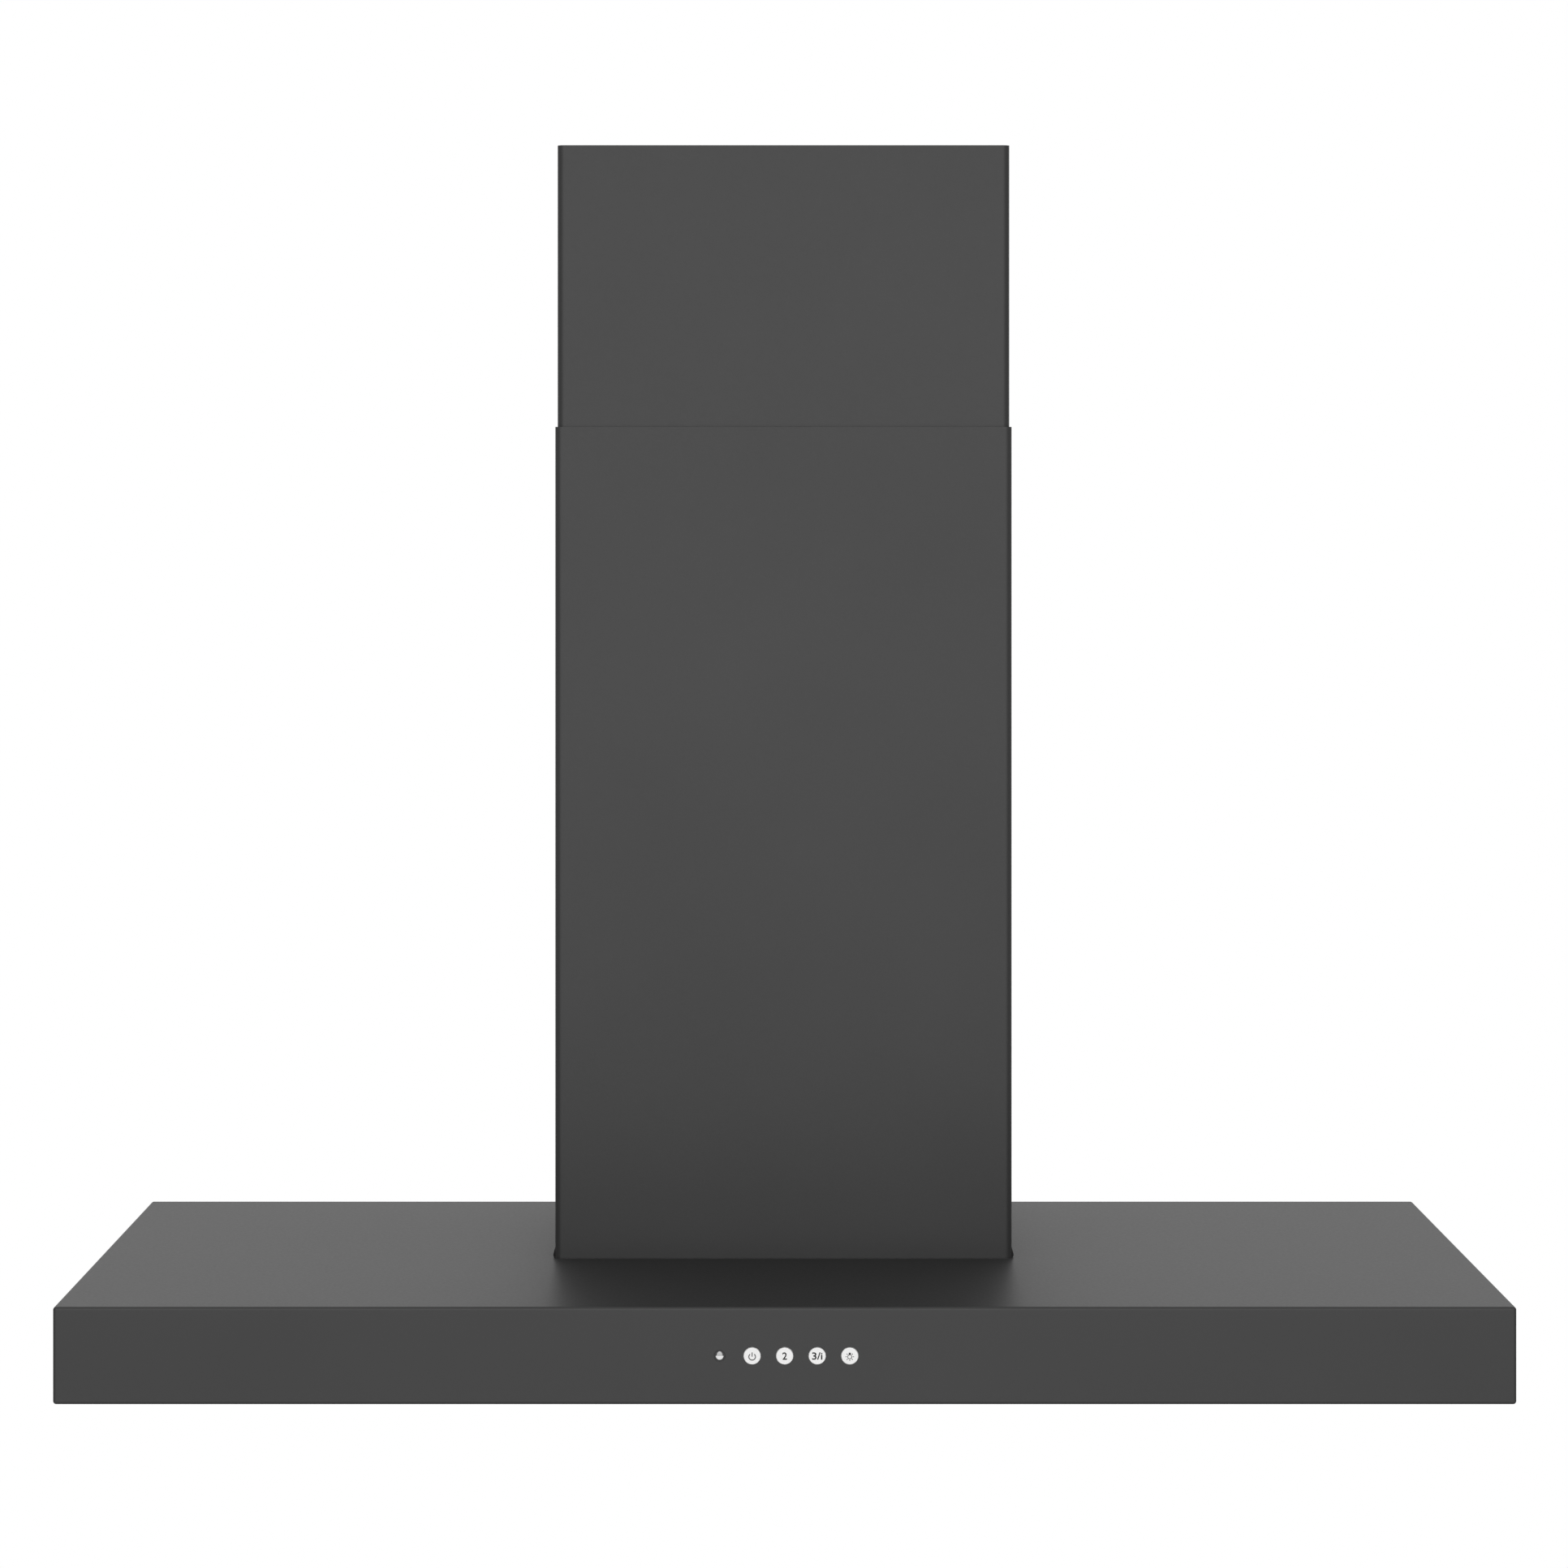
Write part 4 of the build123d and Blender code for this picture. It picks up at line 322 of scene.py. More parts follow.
def carbon_paint():
    """Dark grey powder coat with metal flake in it and a fine orange peel."""
    finish = Finish("carbon_paint", {"Metallic": 0.46, "Specular Tint": grey(0.60)})
    peel = finish.noise(480, detail=3)
    grain = finish.noise(2200, detail=2)
    cloud = finish.noise(9, detail=2)
    mottle = finish.blend(grain, cloud, 0.4)
    finish.feed("Base Color", finish.tint(mottle, [(0.3, grey(0.045)), (0.7, grey(0.051))]))
    finish.feed("Roughness", finish.spread(peel, 0.41, 0.49))
    finish.relief(finish.blend(peel, grain, 0.35), strength=0.10, distance=0.0004)
    return finish.material


def baffle_steel():
    """Stainless steel brushed along the filters."""
    finish = Finish("baffle_steel", {"Metallic": 1.0, "Anisotropic": 0.4})
    brush = finish.noise(1, 4, finish.stretched((1700, 26, 1700)))
    smear = finish.noise(14, detail=3)
    colour = finish.tint(finish.blend(brush, smear, 0.35), [(0.25, grey(0.40)), (0.75, grey(0.62, 0.01))])
    finish.feed("Base Color", colour)
    finish.feed("Roughness", finish.spread(brush, 0.24, 0.44))
    finish.relief(brush, strength=0.12, distance=0.0002)
    return finish.material


def zinc_sheet():
    """Galvanised sheet with ragged frosty crystals."""
    finish = Finish("zinc_sheet", {"Metallic": 0.9})
    edges = finish.ragged(340, reach=0.006)
    crystal = finish.single(finish.cells(85, "Color", place=edges))
    splinter = finish.single(finish.cells(300, "Color", place=edges))
    frost = finish.noise(520, detail=4)
    mixed = finish.blend(finish.blend(crystal, splinter, 0.3), frost, 0.35)
    finish.feed("Base Color", finish.tint(mixed, [(0.2, grey(0.35, -0.02)), (0.8, grey(0.50, -0.01))]))
    finish.feed("Roughness", finish.spread(mixed, 0.38, 0.60))
    finish.relief(frost, strength=0.10, distance=0.0003)
    return finish.material


def fixing_steel():
    """Zinc-plated fixings with a faint yellow and blue cast."""
    finish = Finish("fixing_steel", {"Metallic": 1.0})
    cast = finish.noise(160, detail=2)
    wear = finish.noise(1400, detail=3)
    stops = [(0.3, (0.50, 0.52, 0.56, 1)), (0.55, (0.60, 0.60, 0.58, 1)), (0.75, (0.62, 0.58, 0.48, 1))]
    finish.feed("Base Color", finish.tint(cast, stops))
    finish.feed("Roughness", finish.spread(wear, 0.22, 0.46))
    finish.relief(wear, strength=0.08, distance=0.0002)
    return finish.material


def motor_alloy():
    """Cast alloy with a sandy skin."""
    finish = Finish("motor_alloy", {"Metallic": 0.85})
    sand = finish.noise(1300, detail=4)
    cloud = finish.noise(35, detail=2)
    finish.feed("Base Color", finish.tint(cloud, [(0.3, grey(0.34)), (0.7, grey(0.46))]))
    finish.feed("Roughness", finish.spread(sand, 0.42, 0.66))
    finish.relief(sand, strength=0.25, distance=0.0004)
    return finish.material


def motor_iron():
    """Stack of thin iron sheets."""
    finish = Finish("motor_iron", {"Metallic": 0.8})
    sheets = finish.stripes(320, "X")
    rust = finish.noise(240, detail=3)
    finish.feed("Base Color", finish.tint(rust, [(0.35, grey(0.10, 0.06)), (0.7, grey(0.19, 0.12))]))
    finish.feed("Roughness", finish.spread(rust, 0.42, 0.62))
    finish.relief(sheets, strength=0.5, distance=0.0003)
    return finish.material


def bearing_steel():
    """Ground bright steel with fine turning marks."""
    finish = Finish("bearing_steel", {"Metallic": 1.0})
    turning = finish.noise(1, 3, finish.stretched((3200, 160, 160)))
    finish.feed("Base Color", finish.tint(turning, [(0.3, grey(0.56)), (0.7, grey(0.68))]))
    finish.feed("Roughness", finish.spread(turning, 0.12, 0.28))
    finish.relief(turning, strength=0.06, distance=0.0001)
    return finish.material


def moulded_plastic(name, dark, light, rough):
    """Moulded plastic with an eroded grain."""
    finish = Finish(name, {"Specular IOR Level": 0.45})
    grain = finish.noise(2400, detail=3)
    flow = finish.noise(24, detail=2)
    finish.feed("Base Color", finish.tint(finish.blend(grain, flow, 0.6), [(0.3, dark), (0.7, light)]))
    finish.feed("Roughness", finish.spread(grain, rough - 0.06, rough + 0.08))
    finish.relief(grain, strength=0.12, distance=0.0002)
    return finish.material


def board_green():
    """Circuit board under green varnish, with a shadow of its tracks."""
    finish = Finish("board_green", {"Coat Weight": 0.4, "Coat Roughness": 0.12})
    tracks = finish.cells(260, "Distance", "DISTANCE_TO_EDGE")
    stops = [(0.04, (0.045, 0.16, 0.05, 1)), (0.10, (0.012, 0.075, 0.028, 1))]
    finish.feed("Base Color", finish.tint(tracks, stops))
    finish.feed("Roughness", finish.spread(finish.noise(900, detail=2), 0.34, 0.48))
    finish.relief(tracks, strength=0.15, distance=0.0001)
    return finish.material


def seal_rubber():
    """Black rubber with a dull, dusty skin."""
    finish = Finish("seal_rubber", {"Specular IOR Level": 0.3})
    dust = finish.noise(700, detail=4)
    finish.feed("Base Color", finish.tint(dust, [(0.35, grey(0.008)), (0.75, grey(0.020))]))
    finish.feed("Roughness", finish.spread(dust, 0.62, 0.82))
    finish.relief(dust, strength=0.2, distance=0.0002)
    return finish.material


def lamp_glass():
    """Glass frosted on its inner face."""
    finish = Finish("lamp_glass", {"Transmission Weight": 0.92, "IOR": 1.5})
    frost = finish.noise(2600, detail=3)
    stops = [(0.3, (0.88, 0.90, 0.90, 1)), (0.7, (0.96, 0.97, 0.97, 1))]
    finish.feed("Base Color", finish.tint(frost, stops))
    finish.feed("Roughness", finish.spread(frost, 0.30, 0.48))
    finish.relief(frost, strength=0.10, distance=0.0001)
    return finish.material


def indicator_clear():
    """Milky moulded lens of the indicator."""
    finish = Finish("indicator_clear", {"Coat Weight": 0.6, "Coat Roughness": 0.06})
    milk = finish.noise(900, detail=2)
    finish.feed("Base Color", finish.tint(milk, [(0.3, grey(0.84)), (0.7, grey(0.92))]))
    finish.feed("Roughness", finish.spread(milk, 0.22, 0.34))
    finish.relief(milk, strength=0.05, distance=0.0001)
    return finish.material


def lead_sheath():
    """Black sheath of the leads, dull and a little uneven."""
    finish = Finish("lead_sheath", {"Specular IOR Level": 0.4})
    skin = finish.noise(1600, detail=2)
    cloud = finish.noise(55, detail=2)
    finish.feed("Base Color", finish.tint(cloud, [(0.3, grey(0.036)), (0.7, grey(0.054))]))
    finish.feed("Roughness", finish.spread(skin, 0.42, 0.56))
    finish.relief(skin, strength=0.10, distance=0.0002)
    return finish.material


def mark_ink():
    """Printed ink of the button marks, slightly uneven."""
    finish = Finish("mark_ink", {"Specular IOR Level": 0.25})
    film = finish.noise(3800, detail=3)
    finish.feed("Base Color", finish.tint(film, [(0.3, grey(0.020)), (0.7, grey(0.040))]))
    finish.feed("Roughness", finish.spread(film, 0.5, 0.7))
    finish.relief(film, strength=0.1, distance=0.0001)
    return finish.material


def lens_painted_shade():
    """Painted shade: grey for the upper half of the indicator's lens, under a clear coat."""
    finish = Finish("lens_painted_shade", {"Coat Weight": 0.7, "Coat Roughness": 0.05})
    shade_mottle = finish.noise(1100, detail=2)
    finish.feed("Base Color", finish.tint(shade_mottle, [(0.3, grey(0.42)), (0.7, grey(0.54))]))
    finish.feed("Roughness", finish.spread(shade_mottle, 0.18, 0.30))
    finish.relief(shade_mottle, strength=0.05, distance=0.0001)
    return finish.material


def chip_phosphor():
    """Yellow phosphor of the lamp chips."""
    finish = Finish("chip_phosphor", {"Specular IOR Level": 0.4})
    powder = finish.noise(5200, detail=3)
    stops = [(0.3, (0.72, 0.50, 0.06, 1)), (0.7, (0.86, 0.66, 0.12, 1))]
    finish.feed("Base Color", finish.tint(powder, stops))
    finish.feed("Roughness", finish.spread(powder, 0.45, 0.65))
    finish.relief(powder, strength=0.1, distance=0.0001)
    return finish.material


def slot_finishes():
    """The finish of each of the record's material slots."""
    return {
        "carbon_paint": carbon_paint(),
        "baffle_steel": baffle_steel(),
        "zinc_sheet": zinc_sheet(),
        "fixing_steel": fixing_steel(),
        "motor_alloy": motor_alloy(),
        "motor_iron": motor_iron(),
        "bearing_steel": bearing_steel(),
        "black_plastic": moulded_plastic("black_plastic", grey(0.014), grey(0.024), 0.52),
        "grey_plastic": moulded_plastic("grey_plastic", grey(0.19, -0.02), grey(0.25, -0.02), 0.48),
        "white_plastic": moulded_plastic("white_plastic", grey(0.92, 0.004), grey(0.97, 0.004), 0.38),
        "board_green": board_green(),
        "seal_rubber": seal_rubber(),
        "lamp_glass": lamp_glass(),
        "indicator_clear": indicator_clear(),
        "lead_sheath": lead_sheath(),
    }


FINISHES = slot_finishes()
INK = mark_ink()
PHOSPHOR = chip_phosphor()
LENS_PAINTED_SHADE = lens_painted_shade()


def paint_nodes():
    """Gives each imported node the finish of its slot."""
    for subpart in frame["record"]["subparts"]:
        mesh = NODES[subpart["node"]].data
        mesh.materials.clear()
        mesh.materials.append(FINISHES[subpart["material_slot"]])


# Modelling by hand


def start():
    """Deselects everything before a new piece."""
    bpy.ops.object.select_all(action="DESELECT")


def edit():
    """Opens the piece for shaping, with its points free to pick."""
    bpy.ops.object.mode_set(mode="EDIT")
    bpy.ops.mesh.select_mode(type="VERT")
    bpy.ops.mesh.select_all(action="SELECT")


def pick(wanted):
    """Selects the faces of the open piece whose middle passes a test."""
    mesh = bmesh.from_edit_mesh(bpy.context.object.data)
    bpy.ops.mesh.select_mode(type="FACE")
    bpy.ops.mesh.select_all(action="DESELECT")
    for face in mesh.faces:
        face.select_set(wanted(face.calc_center_median()))
    bmesh.update_edit_mesh(bpy.context.object.data)


def close_up():
    """Merges doubles, turns the faces outwards and closes the piece."""
    bpy.ops.mesh.select_all(action="SELECT")
    bpy.ops.mesh.remove_doubles(threshold=MERGE_REACH)
    bpy.ops.mesh.normals_make_consistent(inside=False)
    bpy.ops.object.mode_set(mode="OBJECT")


def thicken(depth):
    """Extrudes the flat faces of the open piece into a plate."""
    bpy.ops.mesh.select_all(action="SELECT")
    bpy.ops.mesh.extrude_region_move(TRANSFORM_OT_translate={"value": (0, 0, depth)})


def settle(name, place, tilt=0.0):
    """Names the piece, tilts it about X, sets it in place and puts its place in its mesh."""
    piece = bpy.context.object
    piece.name = name
    piece.data.name = name
    piece.rotation_euler = (tilt, 0, 0)
    piece.location = place
    bpy.ops.object.transform_apply(location=True, rotation=True, scale=True)
    return piece


def fit(piece, body, finish):
    """Gives a piece its finish and the body that it moves with."""
    piece.data.materials.clear()
    piece.data.materials.append(finish)
    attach(piece, body)


def middle_of(node):
    """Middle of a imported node."""
    low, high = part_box(node)
    return [(least + most) / 2 for least, most in zip(low, high)]


def turned(profile):
    """Shape turned round the upright axis from radii and heights, left open for shaping."""
    bpy.ops.mesh.primitive_circle_add(vertices=RING_STEPS, radius=profile[0][0], fill_type="NOTHING")
    edit()
    for (radius, height), (next_radius, next_height) in zip(profile, profile[1:]):
        rise = (0, 0, next_height - height)
        bpy.ops.mesh.extrude_region_move(TRANSFORM_OT_translate={"value": rise})
        share = next_radius / radius
        bpy.ops.transform.resize(value=(share, share, 1), center_override=(0, 0, 0))


def smooth():
    """Rounds the shading of the piece, except at its sharp edges."""
    bpy.ops.object.shade_smooth_by_angle(angle=SMOOTH_ANGLE)


def modify(kind, **values):
    """Adds a modifier to the piece, sets its values and applies it."""
    bpy.ops.object.modifier_add(type=kind)
    modifier = bpy.context.object.modifiers[-1]
    for value, amount in values.items():
        setattr(modifier, value, amount)
    bpy.ops.object.modifier_apply(modifier=modifier.name)


def flat_bar(width, span):
    """Adds a flat upright bar to the open piece."""
    lower, upper = span
    middle = (0, (lower + upper) / 2, 0)
    bpy.ops.mesh.primitive_plane_add(size=1, location=middle)
    bpy.ops.transform.resize(value=(width, upper - lower, 1), center_override=middle)


def half_ball(size, upper, rings):
    """Upper or lower half of a flattened ball round the origin."""
    start()
    bpy.ops.mesh.primitive_uv_sphere_add(segments=2 * rings, ring_count=rings, radius=1)
    edit()
    bpy.ops.transform.resize(value=size, center_override=(0, 0, 0))
    bpy.ops.mesh.bisect(
        plane_co=(0, 0, 0), plane_no=(0, 0, 1), use_fill=True, clear_inner=upper, clear_outer=not upper
    )
    close_up()
    smooth()
    return bpy.context.object


def rounded_bar(size, radius):
    """Bar round the origin with rounded edges."""
    start()
    bpy.ops.mesh.primitive_cube_add(size=1)
    edit()
    bpy.ops.transform.resize(value=size, center_override=(0, 0, 0))
    bpy.ops.mesh.bevel(offset=radius, segments=GRIP_ROUND_STEPS)
    close_up()
    smooth()
    return bpy.context.object


def spread_copies(name, first, places):
    """Copies a piece to every place and joins the copies into one piece."""
    copies = []
    for place in places:
        copy = first.copy()
        copy.data = first.data.copy()
        copy.location = place
        SCENE.collection.objects.link(copy)
        copies.append(copy)
    bpy.data.objects.remove(first)
    start()
    for copy in copies:
        copy.select_set(True)
    bpy.context.view_layer.objects.active = copies[0]
    bpy.ops.object.join()
    bpy.ops.object.transform_apply(location=True, rotation=True, scale=True)
    piece = bpy.context.object
    piece.name = name
    piece.data.name = name
    return piece


# Button marks


def mark_place(body):
    """Middle of a button's face, a little way into the cap."""
    x, _, z = middle_of(body)
    return (x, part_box(body)[0][1] + MARK_SUNK, z)


def print_mark(body):
    """Turns the flat mark that is open into a thin print on a button's face."""
    thicken(MARK_SUNK + MARK_PROUD)
    close_up()
    mark = settle(f"{body}_mark", mark_place(body), QUARTER_TURN)
    fit(mark, body, INK)


def power_mark():
    """Broken ring with an upright bar."""
    start()
    turned([(POWER_RADIUS, 0), (POWER_RADIUS - POWER_STROKE, 0)])
    pick(lambda middle: abs(math.degrees(math.atan2(middle.x, middle.y))) < POWER_GAP)
    bpy.ops.mesh.delete(type="FACE")
    flat_bar(POWER_STROKE, POWER_BAR)
    bpy.ops.mesh.select_all(action="SELECT")
    bpy.ops.transform.translate(value=(0, -MARK_DROP, 0))
    print_mark("button_power")


def lamp_mark():
    """Small lamp: a ring with rays and a cap on top."""
    start()
    turned([(LAMP_RADIUS, 0), (LAMP_RADIUS - LAMP_STROKE, 0)])
    bpy.ops.mesh.select_all(action="DESELECT")
    flat_bar(LAMP_STROKE, LAMP_RAY)
    turn = 2 * math.pi * (LAMP_RAYS - 1) / LAMP_RAYS
    bpy.ops.mesh.spin(steps=LAMP_RAYS - 1, dupli=True, angle=turn, center=(0, 0, 0), axis=(0, 0, 1))
    pick(lambda middle: middle.y > LAMP_RAY[0] and abs(middle.x) < LAMP_STROKE)
    bpy.ops.mesh.delete(type="FACE")
    flat_bar(LAMP_CAP[0], LAMP_CAP[1:])
    bpy.ops.mesh.select_all(action="SELECT")
    bpy.ops.transform.translate(value=(0, -MARK_DROP, 0))
    print_mark("button_lamp")


def figure_mark(body, figures, width):
    """Figures on a speed button."""
    start()
    bpy.ops.object.text_add()
    text = bpy.context.object.data
    text.body = figures
    text.offset = FIGURE_WEIGHT / 2
    bpy.ops.object.convert(target="MESH")
    mark = bpy.context.object
    bpy.ops.object.origin_set(type="ORIGIN_GEOMETRY", center="BOUNDS")
    mark.location = (0, 0, 0)
    mark.scale = (width / mark.dimensions.x, FIGURE_HEIGHT / mark.dimensions.y, 1)
    bpy.ops.object.transform_apply(location=True, rotation=True, scale=True)
    edit()
    print_mark(body)


# Indicator


def indicator_dish():
    """Painted ring, dished round the indicator's lens."""
    x, _, z = middle_of("indicator_ring")
    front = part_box("indicator_ring")[0][1]
    start()
    turned(DISH_PROFILE)
    close_up()
    smooth()
    dish = settle("indicator_dish", (x, front, z), QUARTER_TURN)
    fit(dish, "hood", FINISHES["carbon_paint"])
    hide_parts("indicator_ring")


def half_dome(name, size, upper, finish):
    """Upper or lower half of the indicator's lens."""
    x, _, z = middle_of("indicator_lens")
    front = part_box("indicator_lens")[0][1]
    half_ball(size, upper, LENS_RINGS)
    dome = settle(name, (x, front + DISH_DEPTH, z))
    fit(dome, "hood", finish)
    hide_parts("indicator_lens")


# Filter rivets


def filter_rivets(side):
    """Domed rivet heads below the corners of one filter frame."""
    low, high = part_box(f"filter_frame_{side}")
    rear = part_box(f"filter_baffles_{side}")[1][1]
    xs = (low[0] + RIVET_INSET, high[0] - RIVET_INSET)
    ys = (low[1] + RIVET_INSET, rear)
    places = [(x, y, low[2]) for x in xs for y in ys]
    head = half_ball((RIVET_RADIUS, RIVET_RADIUS, RIVET_HEIGHT), False, RIVET_RINGS)
    rivets = spread_copies(f"filter_rivets_{side}", head, places)
    fit(rivets, f"filter_{side}", FINISHES["fixing_steel"])


# Finger grips of the filter latches


def latch_grip(side):
    """Rounded bead along the lower edge of a latch's pull, and ribs for the finger above it."""
    low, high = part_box(f"filter_latch_{side}")
    x = middle_of(f"filter_latch_{side}")[0]
    y = high[1] - GRIP_SETBACK
    bead = rounded_bar(GRIP_BEAD, GRIP_BEAD_ROUND)
    bead = spread_copies(f"latch_bead_{side}", bead, [(x, y, low[2] + GRIP_BEAD[2] / 2)])
    rib = rounded_bar(GRIP_RIB, GRIP_RIB_ROUND)
    ribs = spread_copies(f"latch_ribs_{side}", rib, [(x, y, low[2] + rise) for rise in GRIP_RIB_RISES])
    for piece in (bead, ribs):
        fit(piece, f"latch_{side}", FINISHES["black_plastic"])


# Lamp insides


def lamp_places(rise):
    """Places above the middles of both lamp lenses."""
    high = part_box("lamp_lenses")[1]
    y = middle_of("lamp_lenses")[1]
    radius = high[1] - y
    x = high[0] - radius
    return [(-x, y, high[2] + rise), (x, y, high[2] + rise)]


def lamp_reflectors():
    """Bright bowls above the lenses."""
    start()
    turned(REFLECTOR_PROFILE)
    close_up()
    modify("SOLIDIFY", thickness=REFLECTOR_SHEET)
    smooth()
    bowls = spread_copies("lamp_reflectors", bpy.context.object, lamp_places(REFLECTOR_GAP))
    fit(bowls, "hood", FINISHES["bearing_steel"])


def pick_open_ring():
    """Selects the open edges of the piece."""
    bpy.ops.mesh.select_all(action="DESELECT")
    bpy.ops.mesh.select_non_manifold()


def lamp_plates():
    """White plates at the top of the bowls."""
    start()
    turned(PLATE_PROFILE)
    bpy.ops.mesh.edge_face_add()
    pick_open_ring()
    bpy.ops.mesh.edge_face_add()
    close_up()
    smooth()
    rise = REFLECTOR_GAP + REFLECTOR_PROFILE[-1][1]
    plates = spread_copies("lamp_plates", bpy.context.object, lamp_places(rise))
    fit(plates, "hood", FINISHES["white_plastic"])


def lamp_chips():
    """Ring of small square chips under each plate."""
    start()
    bpy.ops.mesh.primitive_cube_add(size=1)
    edit()
    bpy.ops.transform.resize(value=CHIP_SIZE, center_override=(0, 0, 0))
    bpy.ops.mesh.bevel(offset=CHIP_EDGE, segments=CHIP_EDGE_STEPS)
    pick(lambda middle: middle.z < SAME_PLACE - CHIP_SIZE[2] / 2)
    bpy.ops.mesh.inset(thickness=CHIP_FRAME)
    bpy.ops.mesh.extrude_region_move(TRANSFORM_OT_translate={"value": (0, 0, CHIP_WELL)})
    close_up()
    rise = REFLECTOR_GAP + REFLECTOR_PROFILE[-1][1] - CHIP_SIZE[2] / 2
    places = []
    for x, y, z in lamp_places(rise):
        for step in range(CHIP_COUNT):
            turn = 2 * math.pi * step / CHIP_COUNT
            places.append((x + CHIP_RING * math.cos(turn), y + CHIP_RING * math.sin(turn), z))
    chips = spread_copies("lamp_chips", bpy.context.object, places)
    fit(chips, "hood", PHOSPHOR)


# Capacitor tabs


def capacitor_tabs():
    """Two upright plug tabs on the capacitor."""
    width, height = TAB_SIZE
    start()
    bpy.ops.mesh.primitive_plane_add(size=1)
    edit()
    bpy.ops.transform.resize(value=(width, height, 1), center_override=(0, 0, 0))
    bpy.ops.mesh.bevel(offset=TAB_CORNER, affect="VERTICES")
    thicken(TAB_SHEET)
    close_up()
    tab = settle("tab", (0, 0, 0), QUARTER_TURN)
    x, y, _ = middle_of("capacitor")
    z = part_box("capacitor")[1][2] + height / 2 - TAB_CORNER
    places = [(x, y + side * TAB_PITCH / 2, z) for side in (-1, 1)]
    tabs = spread_copies("capacitor_tabs", tab, places)
    fit(tabs, "hood", FINISHES["fixing_steel"])


# Leads


def metres(route, side=1):
    """A route's points in metres, or their mirror image."""
    return [(side * x * MM, y * MM, z * MM) for x, y, z in route]


def lead(name, points):
    """Round lead on one smooth line between its two ends."""
    curve = bpy.data.curves.new(name, "CURVE")
    curve.dimensions = "3D"
    curve.bevel_depth = LEAD_RADIUS
    curve.bevel_resolution = LEAD_ROUNDNESS
    curve.use_fill_caps = True
    spline = curve.splines.new("NURBS")
    spline.points.add(len(points) - 1)
    for control, point in zip(spline.points, points):
        control.co = (*point, 1)
    spline.order_u = 3
    spline.use_endpoint_u = True
    spline.resolution_u = LEAD_STEPS
    piece = bpy.data.objects.new(name, curve)
    SCENE.collection.objects.link(piece)
    fit(piece, "hood", FINISHES["lead_sheath"])
    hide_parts("wiring")


def lay_leads():
    """Leads to both lamps, to the control board and to the motor."""
    lead("lamp_lead_left", metres(LAMP_LEAD_ROUTE, -1))
    lead("lamp_lead_right", metres(LAMP_LEAD_ROUTE))
    lead("control_lead", metres(CONTROL_LEAD_ROUTE))
    lead("motor_lead", metres(MOTOR_LEAD_ROUTE))


# Stage


def seen_directly(nodes, links):
    """1 for what the camera sees, also in mirrors and through glass, and 0 for light on matt surfaces."""
    path = nodes.new("ShaderNodeLightPath")
    mirrored = nodes.new("ShaderNodeMath")
    mirrored.operation = "MAXIMUM"
    links.new(path.outputs["Is Camera Ray"], mirrored.inputs[0])
    links.new(path.outputs["Is Glossy Ray"], mirrored.inputs[1])
    through = nodes.new("ShaderNodeMath")
    through.operation = "MAXIMUM"
    links.new(mirrored.outputs["Value"], through.inputs[0])
    links.new(path.outputs["Is Transmission Ray"], through.inputs[1])
    return through.outputs["Value"]


def floor():
    """Pale floor below the hood, white further out and see-through from below."""
    start()
    bpy.ops.mesh.primitive_circle_add(vertices=FLOOR_STEPS, radius=FLOOR_RADIUS, fill_type="NGON")
    piece = settle("floor", (0, 0, -FLOOR_DROP))
    finish = Finish("floor_pale", {"Base Color": FLOOR_PALE, "Roughness": 0.9, "Specular IOR Level": 0.0})
    nodes, links = finish.nodes, finish.links
    reach = nodes.new("ShaderNodeVectorMath")
    reach.operation = "LENGTH"
    links.new(finish.place, reach.inputs[0])
    fade = nodes.new("ShaderNodeMapRange")
    fade.interpolation_type = "SMOOTHSTEP"
    fade.inputs["From Min"].default_value = FLOOR_FADE[0]
    fade.inputs["From Max"].default_value = FLOOR_FADE[1]
    links.new(reach.outputs["Value"], fade.inputs["Value"])
    seen = nodes.new("ShaderNodeMath")
    seen.operation = "MULTIPLY"
    links.new(fade.outputs["Result"], seen.inputs[0])
    links.new(seen_directly(nodes, links), seen.inputs[1])
    white = nodes.new("ShaderNodeEmission")
    pale = nodes.new("ShaderNodeMixShader")
    links.new(seen.outputs["Value"], pale.inputs["Fac"])
    links.new(finish.shader.outputs["BSDF"], pale.inputs[1])
    links.new(white.outputs["Emission"], pale.inputs[2])
    clear = nodes.new("ShaderNodeBsdfTransparent")
    sides = nodes.new("ShaderNodeMixShader")
    links.new(nodes.new("ShaderNodeNewGeometry").outputs["Backfacing"], sides.inputs["Fac"])
    links.new(pale.outputs["Shader"], sides.inputs[1])
    links.new(clear.outputs["BSDF"], sides.inputs[2])
    links.new(sides.outputs["Shader"], nodes["Material Output"].inputs["Surface"])
    piece.data.materials.append(finish.material)


def side_cards():
    """Grey cards to both sides, seen only in reflections, that darken the folds' edges."""
    finish = bpy.data.materials.new("card_grey")
    finish.use_nodes = True
    nodes, links = finish.node_tree.nodes, finish.node_tree.links
    glow = nodes.new("ShaderNodeEmission")
    glow.inputs["Strength"].default_value = CARD_LEVEL
    links.new(glow.outputs["Emission"], nodes["Material Output"].inputs["Surface"])
    length = CARD_SPAN[1] - CARD_SPAN[0]
    height = CARD_HEIGHT[1] - CARD_HEIGHT[0]
    for side, name in ((-1, "card_left"), (1, "card_right")):
        start()
        bpy.ops.mesh.primitive_plane_add(size=1)
        card = bpy.context.object
        card.name = name
        card.scale = (height, length, 1)
        card.rotation_euler = (0, QUARTER_TURN, 0)
        card.location = (side * CARD_REACH, sum(CARD_SPAN) / 2, sum(CARD_HEIGHT) / 2)
        bpy.ops.object.transform_apply(location=True, rotation=True, scale=True)
        card.data.materials.append(finish)
        card.visible_camera = False
        card.visible_diffuse = False
        card.visible_shadow = False
        card.visible_transmission = False


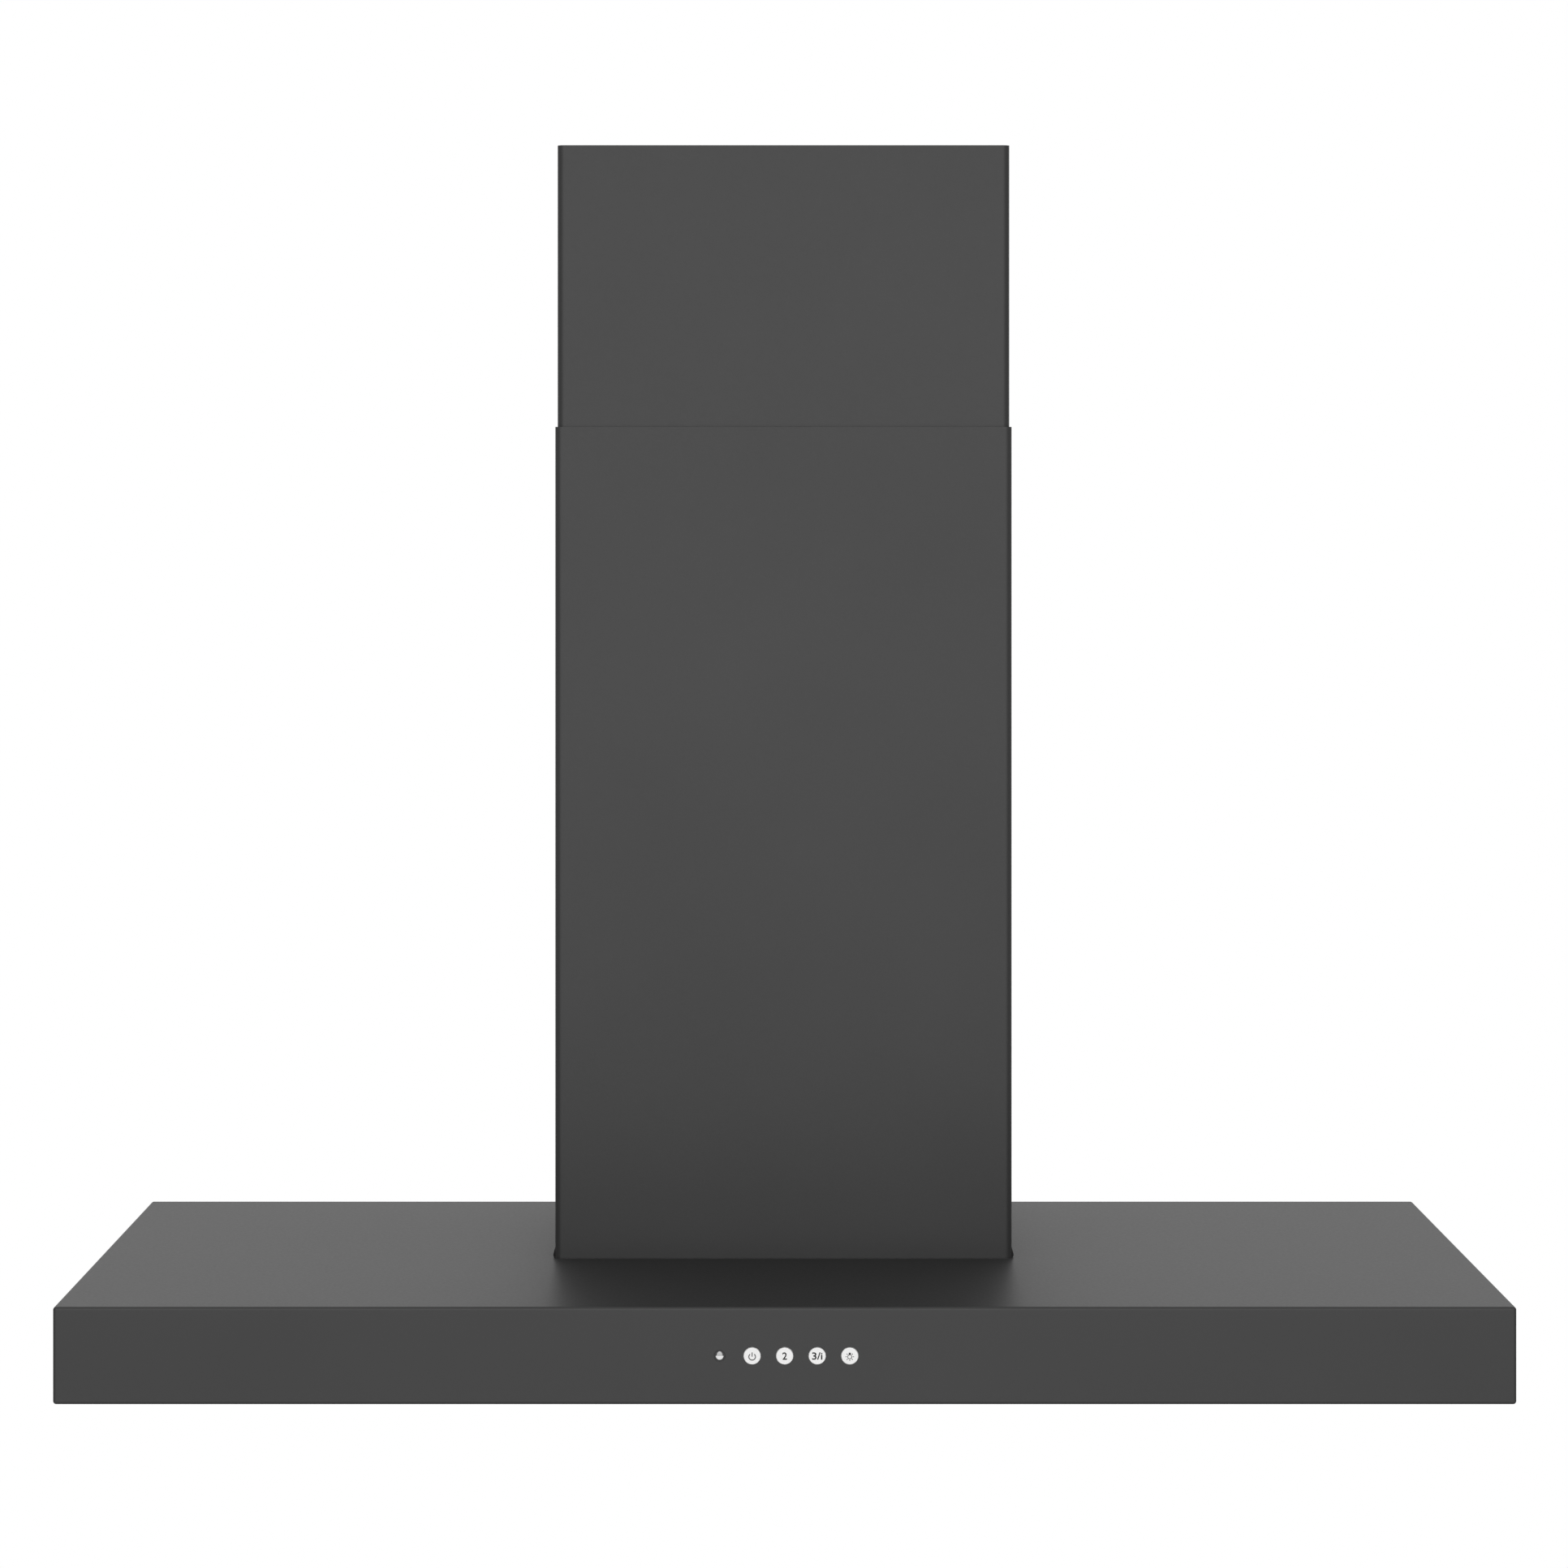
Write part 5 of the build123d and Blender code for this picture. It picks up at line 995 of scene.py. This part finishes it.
def surroundings():
    """White all round to the eye, with an even soft light on the hood."""
    world = bpy.data.worlds.new("surroundings")
    world.use_nodes = True
    nodes, links = world.node_tree.nodes, world.node_tree.links
    level = nodes.new("ShaderNodeMapRange")
    level.inputs["To Min"].default_value = SURROUNDINGS_LIGHT
    level.inputs["To Max"].default_value = 1.0
    links.new(seen_directly(nodes, links), level.inputs["Value"])
    background = nodes["Background"]
    background.inputs["Color"].default_value = (1, 1, 1, 1)
    links.new(level.outputs["Result"], background.inputs["Strength"])
    SCENE.world = world


def studio_light(name, place, watts):
    """Large soft lamp that points at the hood."""
    data = bpy.data.lights.new(name, "AREA")
    data.shape = "SQUARE"
    data.size = STUDIO_SIDE
    data.energy = watts
    lamp = bpy.data.objects.new(name, data)
    lamp.location = place
    SCENE.collection.objects.link(lamp)
    lamp.rotation_euler = (STUDIO_AIM - lamp.location).to_track_quat("-Z", "Y").to_euler()


def camera():
    """Level camera with the photograph's lens, shifted down and to the right."""
    data = bpy.data.cameras.new("camera")
    data.lens = CAMERA_LENS
    data.sensor_width = CAMERA_SENSOR
    data.shift_x = (PHOTO_SIDE / 2 - PHOTO_VANISHING) / PHOTO_SIDE
    data.shift_y = (PHOTO_HORIZON - PHOTO_SIDE / 2) / PHOTO_SIDE
    eye = bpy.data.objects.new("camera", data)
    eye.location = CAMERA_PLACE
    eye.rotation_euler = (QUARTER_TURN, 0, 0)
    SCENE.collection.objects.link(eye)
    SCENE.camera = eye


def main():
    """Dresses the hood and sets the stage."""
    paint_nodes()
    camera()
    lay_leads()
    power_mark()
    figure_mark("button_speed_two", "2", TWO_WIDTH)
    figure_mark("button_speed_three", "3/i", THREE_WIDTH)
    lamp_mark()
    indicator_dish()
    half_dome("indicator_cup", CUP_SIZE, False, FINISHES["indicator_clear"])
    # The grey upper half of the lens is painted shade; the cup below keeps the lens's milky white.
    half_dome("indicator_painted_shade", PAINTED_SHADE_SIZE, True, LENS_PAINTED_SHADE)
    lamp_reflectors()
    lamp_plates()
    lamp_chips()
    capacitor_tabs()
    for side in ("left", "middle", "right"):
        filter_rivets(side)
        latch_grip(side)
    floor()
    side_cards()
    surroundings()
    studio_light("studio_left", STUDIO_LEFT, STUDIO_LEFT_WATTS)
    studio_light("studio_right", STUDIO_RIGHT, STUDIO_RIGHT_WATTS)
    SCENE.view_settings.view_transform = "Standard"


main()
